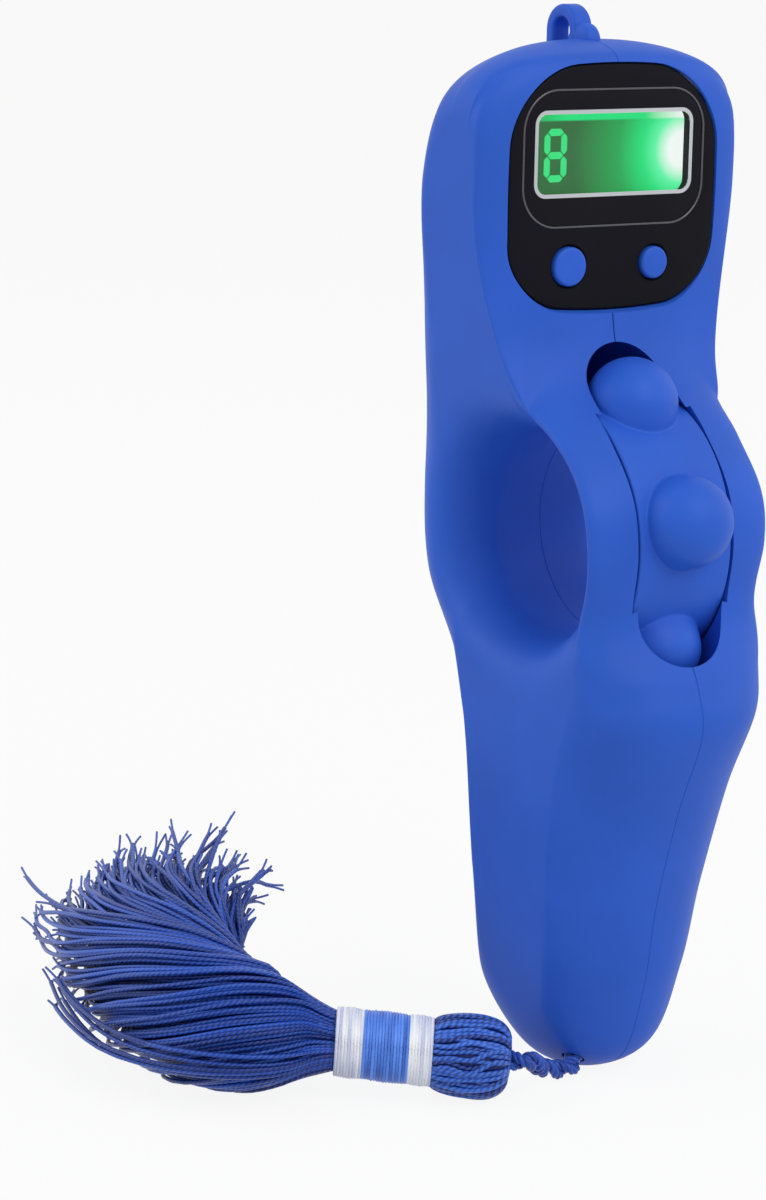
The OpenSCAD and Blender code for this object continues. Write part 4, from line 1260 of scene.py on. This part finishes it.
def skirt_threads(random, line, n, thread, turn):
    """Paths of the skirt's threads: each keeps its share of the skirt's width and its angle in the bundle.

    The bundle turns about itself towards the ends, so threads from the inner side come to lie on top. Waves
    and a flick at the tip are added to each thread across the line."""
    middle, wide, high, side, up = line
    turn_from, turn_over, late_from, flick_from = 0.2, 0.64, 0.55, 0.7
    t = np.linspace(0, 1, SKIRT_STEPS)[None, :]
    share = np.sqrt(random.uniform(0.02, 1.0, (n, 1))) + 0 * t
    angle = random.uniform(0, 2 * np.pi, (n, 1)) + random.normal(0, 0.3, (n, 1)) * t ** 2
    angle += turn * eased((t - turn_from) / turn_over)
    loose, stray = slice(0, LOOSE), slice(LOOSE, LOOSE + STRAY)
    angle[loose] = np.pi + random.uniform(-0.2, 0.4, (LOOSE, 1))
    share[loose] = 1.0 + random.uniform(0.08, 0.22, (LOOSE, 1)) * np.sin(np.pi * t ** 1.2)
    angle[stray] += np.pi + random.uniform(-0.5, 0.2, (STRAY, 1)) - angle[stray, -1:]
    share[stray] = 1.0 + 0.35 * t ** 4
    late, last = (np.clip((t - start) / (1 - start), 0, 1) for start in (late_from, flick_from))
    flick = random.normal(0, 2.0, (n, 2, 1)) * last[:, None] ** 2

    def wander(size, fewest, most, grow):
        """A wave of its own for each thread, larger towards the tip."""
        waves, phase = random.uniform(fewest, most, (n, 1)), random.uniform(0, 1, (n, 1))
        return random.normal(0, size, (n, 1)) * np.sin(2 * np.pi * (t * waves + phase)) * grow

    def across(half, part, tip):
        """Distance from the middle line: the thread's place in the bundle, two waves and the flick."""
        return share * (half - thread / 2) * part + wander(0.5, 0.8, 2.2, t) + wander(0.55, 3, 6, late) + tip

    a = across(wide, np.cos(angle), flick[:, 0])
    a = np.where(a < 0, a * (1 - 0.15 * t ** 2), a)
    b = across(high, np.sin(angle), flick[:, 1])
    paths = middle + a[..., None] * side + b[..., None] * up
    paths[..., 2] += 0.2 * a * t ** 3
    paths[..., 2] = np.maximum(paths[..., 2], FLOOR + thread / 2)
    # All threads are about as long, so those on the outer side of the bend end earlier
    stop = random.uniform(0.86, 1.0, n) * THREAD_L
    stop[stray] = random.uniform(1.0, 1.15, STRAY) * THREAD_L
    return even_spacing(paths, SKIRT_STEPS, stop)


def open_tips(random, paths, thread):
    """Paths of the two plies into which each thread opens at its tip, apart by a power of the distance."""
    n, overlap, least_gape = len(paths), 0.6, 0.1
    way, side, up = (v[:, -1:] for v in frame_of(paths))
    spin = random.uniform(0, 2 * np.pi, (n, 1, 1))
    s = np.linspace(0, 1, 7)[None, :, None]
    span, gape = random.uniform(1.6, 3.4, (n, 1, 1)), random.uniform(0.15, 0.9, (n, 1, 1))
    middle = paths[:, -1:] + way * (s * span - overlap)
    apart = (np.cos(spin) * side + np.sin(spin) * up) * (least_gape + gape * s ** 1.5)
    plies = np.concatenate([middle - apart, middle + apart])
    plies[..., 2] = np.maximum(plies[..., 2], FLOOR + thread / 4)
    return plies


def skirt_core(line):
    """Plain body inside the skirt's threads: ellipses that shrink to nothing before the threads' ends."""
    # It stands for the inner threads and stops the view through them; without shades of its own it takes near
    # the darkest thread colour, which paints shade between the threads
    middle, wide, high, side, up = line
    share, end = 0.7, 0.72
    t = np.linspace(0, 1, SKIRT_STEPS)
    turn = full_turn(32)[None, :, None]
    inset = share * np.sqrt(np.clip(1 - (t / end) ** 4, 0, 1))[:, None, None]
    flat, upright = (wide[:, None] * side)[:, None], (high[:, None] * up)[:, None]
    rings = middle[:, None] + inset * (np.cos(turn) * flat + np.sin(turn) * upright)
    return closed_loft(rings[:int(end * SKIRT_STEPS)])


class OBJECT_OT_tally_tassel_skirt(TallyOperator, bpy.types.Operator):
    """Build the tassel's skirt of loose threads"""
    bl_idname = "object.tally_tassel_skirt"
    bl_label = "Tassel skirt"

    def execute(self, context):
        settings = context.scene.tally_tassel
        random = np.random.default_rng(settings.seed)
        n, thread, tip_r = settings.strands, settings.thread_d / MM, 0.14
        at, way = tassel_axis()
        bound = at + way * (KNOB_L + WHITE_L + BLUE_L + TAIL_WHITE_L)
        # Painted light: the skirt's threads grow paler and greyer towards their tips, as if lit from above
        finish = silk_thread("spun_blue_thread", settings.deep, settings.blue, 0.0, 1.3, linear("#7084C8"),
                             HOLE + bound * MM)
        line = skirt_line(bound, way)
        paths = skirt_threads(random, line, n, thread, settings.turn)
        shades = random.uniform(0.1, 0.9, n)
        put_strands("tassel_skirt_threads", paths, thread / 2, shades, finish, 5, "tassel_skirt")
        tips = open_tips(random, paths, thread)
        shades = random.uniform(0.3, 0.9, 2 * n)
        put_strands("tassel_skirt_tips", tips, tip_r, shades, finish, 5)
        # The core's dark colour is painted shade between the threads
        put_piece("tassel_skirt_core", skirt_core(line), finish, "case", "thread_blue")
        return {"FINISHED"}


# Stage


def photo_camera():
    """Place of the lens and its turn: it looks at the finger hole, then is turned by yaw, pitch and roll."""
    flat = math.cos(CAMERA_LIFT)
    back = Vector((-math.sin(CAMERA_AZIMUTH) * flat, -math.cos(CAMERA_AZIMUTH) * flat, math.sin(CAMERA_LIFT)))
    right = Vector((math.cos(CAMERA_AZIMUTH), -math.sin(CAMERA_AZIMUTH), 0))
    turn = Matrix((right, back.cross(right), back))
    for angle, axis in ((CAMERA_YAW, "Y"), (CAMERA_PITCH, "X"), (CAMERA_ROLL, "Z")):
        turn = Matrix.Rotation(angle, 3, axis) @ turn
    turn = turn.transposed().to_4x4()
    turn.translation = Vector(HOLE) + CAMERA_DISTANCE * MM * back
    return turn


def add_camera(scene):
    """The camera at the photo's viewing angle."""
    lens = bpy.data.cameras.new("camera")
    lens.sensor_fit, lens.sensor_height = "VERTICAL", 36.0
    lens.lens = FOCAL_PIXELS / PHOTO_HEIGHT * lens.sensor_height
    lens.clip_start = 0.01
    camera = bpy.data.objects.new("camera", lens)
    camera.matrix_world = photo_camera()
    scene.collection.objects.link(camera)
    scene.camera = camera


def seen_directly(tree):
    """1 for a ray from the camera, off a glossy face or through a clear one, and 0 for a ray that lights."""
    rays = add_node(tree, "LightPath").outputs
    seen = add_node(tree, "Math", {0: rays["Is Camera Ray"], 1: rays["Is Glossy Ray"]}, operation="MAXIMUM")
    return add_node(tree, "Math", {0: seen, 1: rays["Is Transmission Ray"]}, operation="MAXIMUM")


def add_floor(scene, colour):
    """Pale paper floor: seen directly it is mostly white by itself, and it still takes the shadow."""
    half, drop, own_share = 6.0, 0.0002, 0.9
    paper, tree = new_finish("paper_floor")
    share = add_node(tree, "Math", {0: seen_directly(tree), 1: own_share}, operation="MULTIPLY")
    matt = add_node(tree, "BsdfDiffuse", {"Color": with_alpha(colour)})
    glow = add_node(tree, "Emission", {"Color": (1, 1, 1, 1), "Strength": 1.0})
    close_finish(paper, {0: share, 1: matt, 2: glow}, "MixShader")
    corners = [(-half, -half, 0), (half, -half, 0), (half, half, 0), (-half, half, 0)]
    mesh = bpy.data.meshes.new("floor")
    mesh.from_pydata(corners, [], [(0, 1, 2, 3)])
    mesh.materials.append(paper)
    floor = bpy.data.objects.new("floor", mesh)
    floor.location.z = -drop
    scene.collection.objects.link(floor)


def add_room(scene, strength):
    """White room: full white where it is seen directly, and an even light of the given strength."""
    world = bpy.data.worlds.new("room")
    world.use_nodes = True
    tree = world.node_tree
    tree.nodes.clear()
    power = add_node(tree, "MapRange", {"Value": seen_directly(tree), "To Min": strength, "To Max": 1.0})
    shine = add_node(tree, "Background", {"Color": (1, 1, 1, 1), "Strength": power})
    add_node(tree, "OutputWorld", {"Surface": shine})
    scene.world = world


def add_lamp(scene, name, spot, power):
    """Square soft lamp that looks at the middle of the counter."""
    size, target = 0.5, Vector((0, 0, 0.06))
    lamp = bpy.data.lights.new(name, "AREA")
    lamp.size, lamp.energy = size, power
    light = bpy.data.objects.new(name, lamp)
    light.location = spot
    light.rotation_euler = (Vector(spot) - target).to_track_quat("Z", "Y").to_euler()
    scene.collection.objects.link(light)


class OBJECT_OT_tally_stage(TallyOperator, bpy.types.Operator):
    """Set up the floor, the light and the camera"""
    bl_idname = "object.tally_stage"
    bl_label = "Stage"

    def execute(self, context):
        scene, settings = context.scene, context.scene.tally_stage
        add_camera(scene)
        add_floor(scene, settings.floor)
        add_room(scene, settings.sky)
        add_lamp(scene, "key", (0.05, -0.6, 0.6), settings.key)
        add_lamp(scene, "fill", (0.6, -0.3, 0.35), settings.fill)
        add_lamp(scene, "side", (-0.55, 0.3, 0.4), settings.side)
        scene.view_settings.view_transform = "Standard"
        return {"FINISHED"}


class VIEW3D_PT_tally(bpy.types.Panel):
    """Panel with the counter's settings and build steps"""
    bl_idname = "VIEW3D_PT_tally"
    bl_label = "Tally counter"
    bl_space_type = "VIEW_3D"
    bl_region_type = "UI"
    bl_category = "Tally counter"

    def draw(self, context):
        for group in SETTINGS:
            settings = getattr(context.scene, group)
            column = self.layout.column(align=True)
            for key in settings.__annotations__:
                column.prop(settings, key)
        for step in OPERATORS:
            self.layout.operator(step.bl_idname)


SETTINGS = {"tally_case": TallyCaseSettings, "tally_display": TallyDisplaySettings,
            "tally_tassel": TallyTasselSettings, "tally_stage": TallyStageSettings}
OPERATORS = (OBJECT_OT_tally_case, OBJECT_OT_tally_door, OBJECT_OT_tally_wheel, OBJECT_OT_tally_bezel,
             OBJECT_OT_tally_display, OBJECT_OT_tally_buttons, OBJECT_OT_tally_inner,
             OBJECT_OT_tally_tassel_head, OBJECT_OT_tally_tassel_skirt, OBJECT_OT_tally_stage)


def register():
    """Add the classes and the settings to Blender."""
    for cls in (*SETTINGS.values(), *OPERATORS, VIEW3D_PT_tally):
        bpy.utils.register_class(cls)
    for name, group in SETTINGS.items():
        setattr(bpy.types.Scene, name, PointerProperty(type=group))


def unregister():
    """Take the settings and the classes out again."""
    for name in SETTINGS:
        delattr(bpy.types.Scene, name)
    for cls in (VIEW3D_PT_tally, *OPERATORS[::-1], *SETTINGS.values()):
        bpy.utils.unregister_class(cls)


def main():
    """Build every piece in order."""
    register()
    for step in OPERATORS:
        family, name = step.bl_idname.split(".")
        getattr(getattr(bpy.ops, family), name)()


if __name__ == "__main__":
    main()
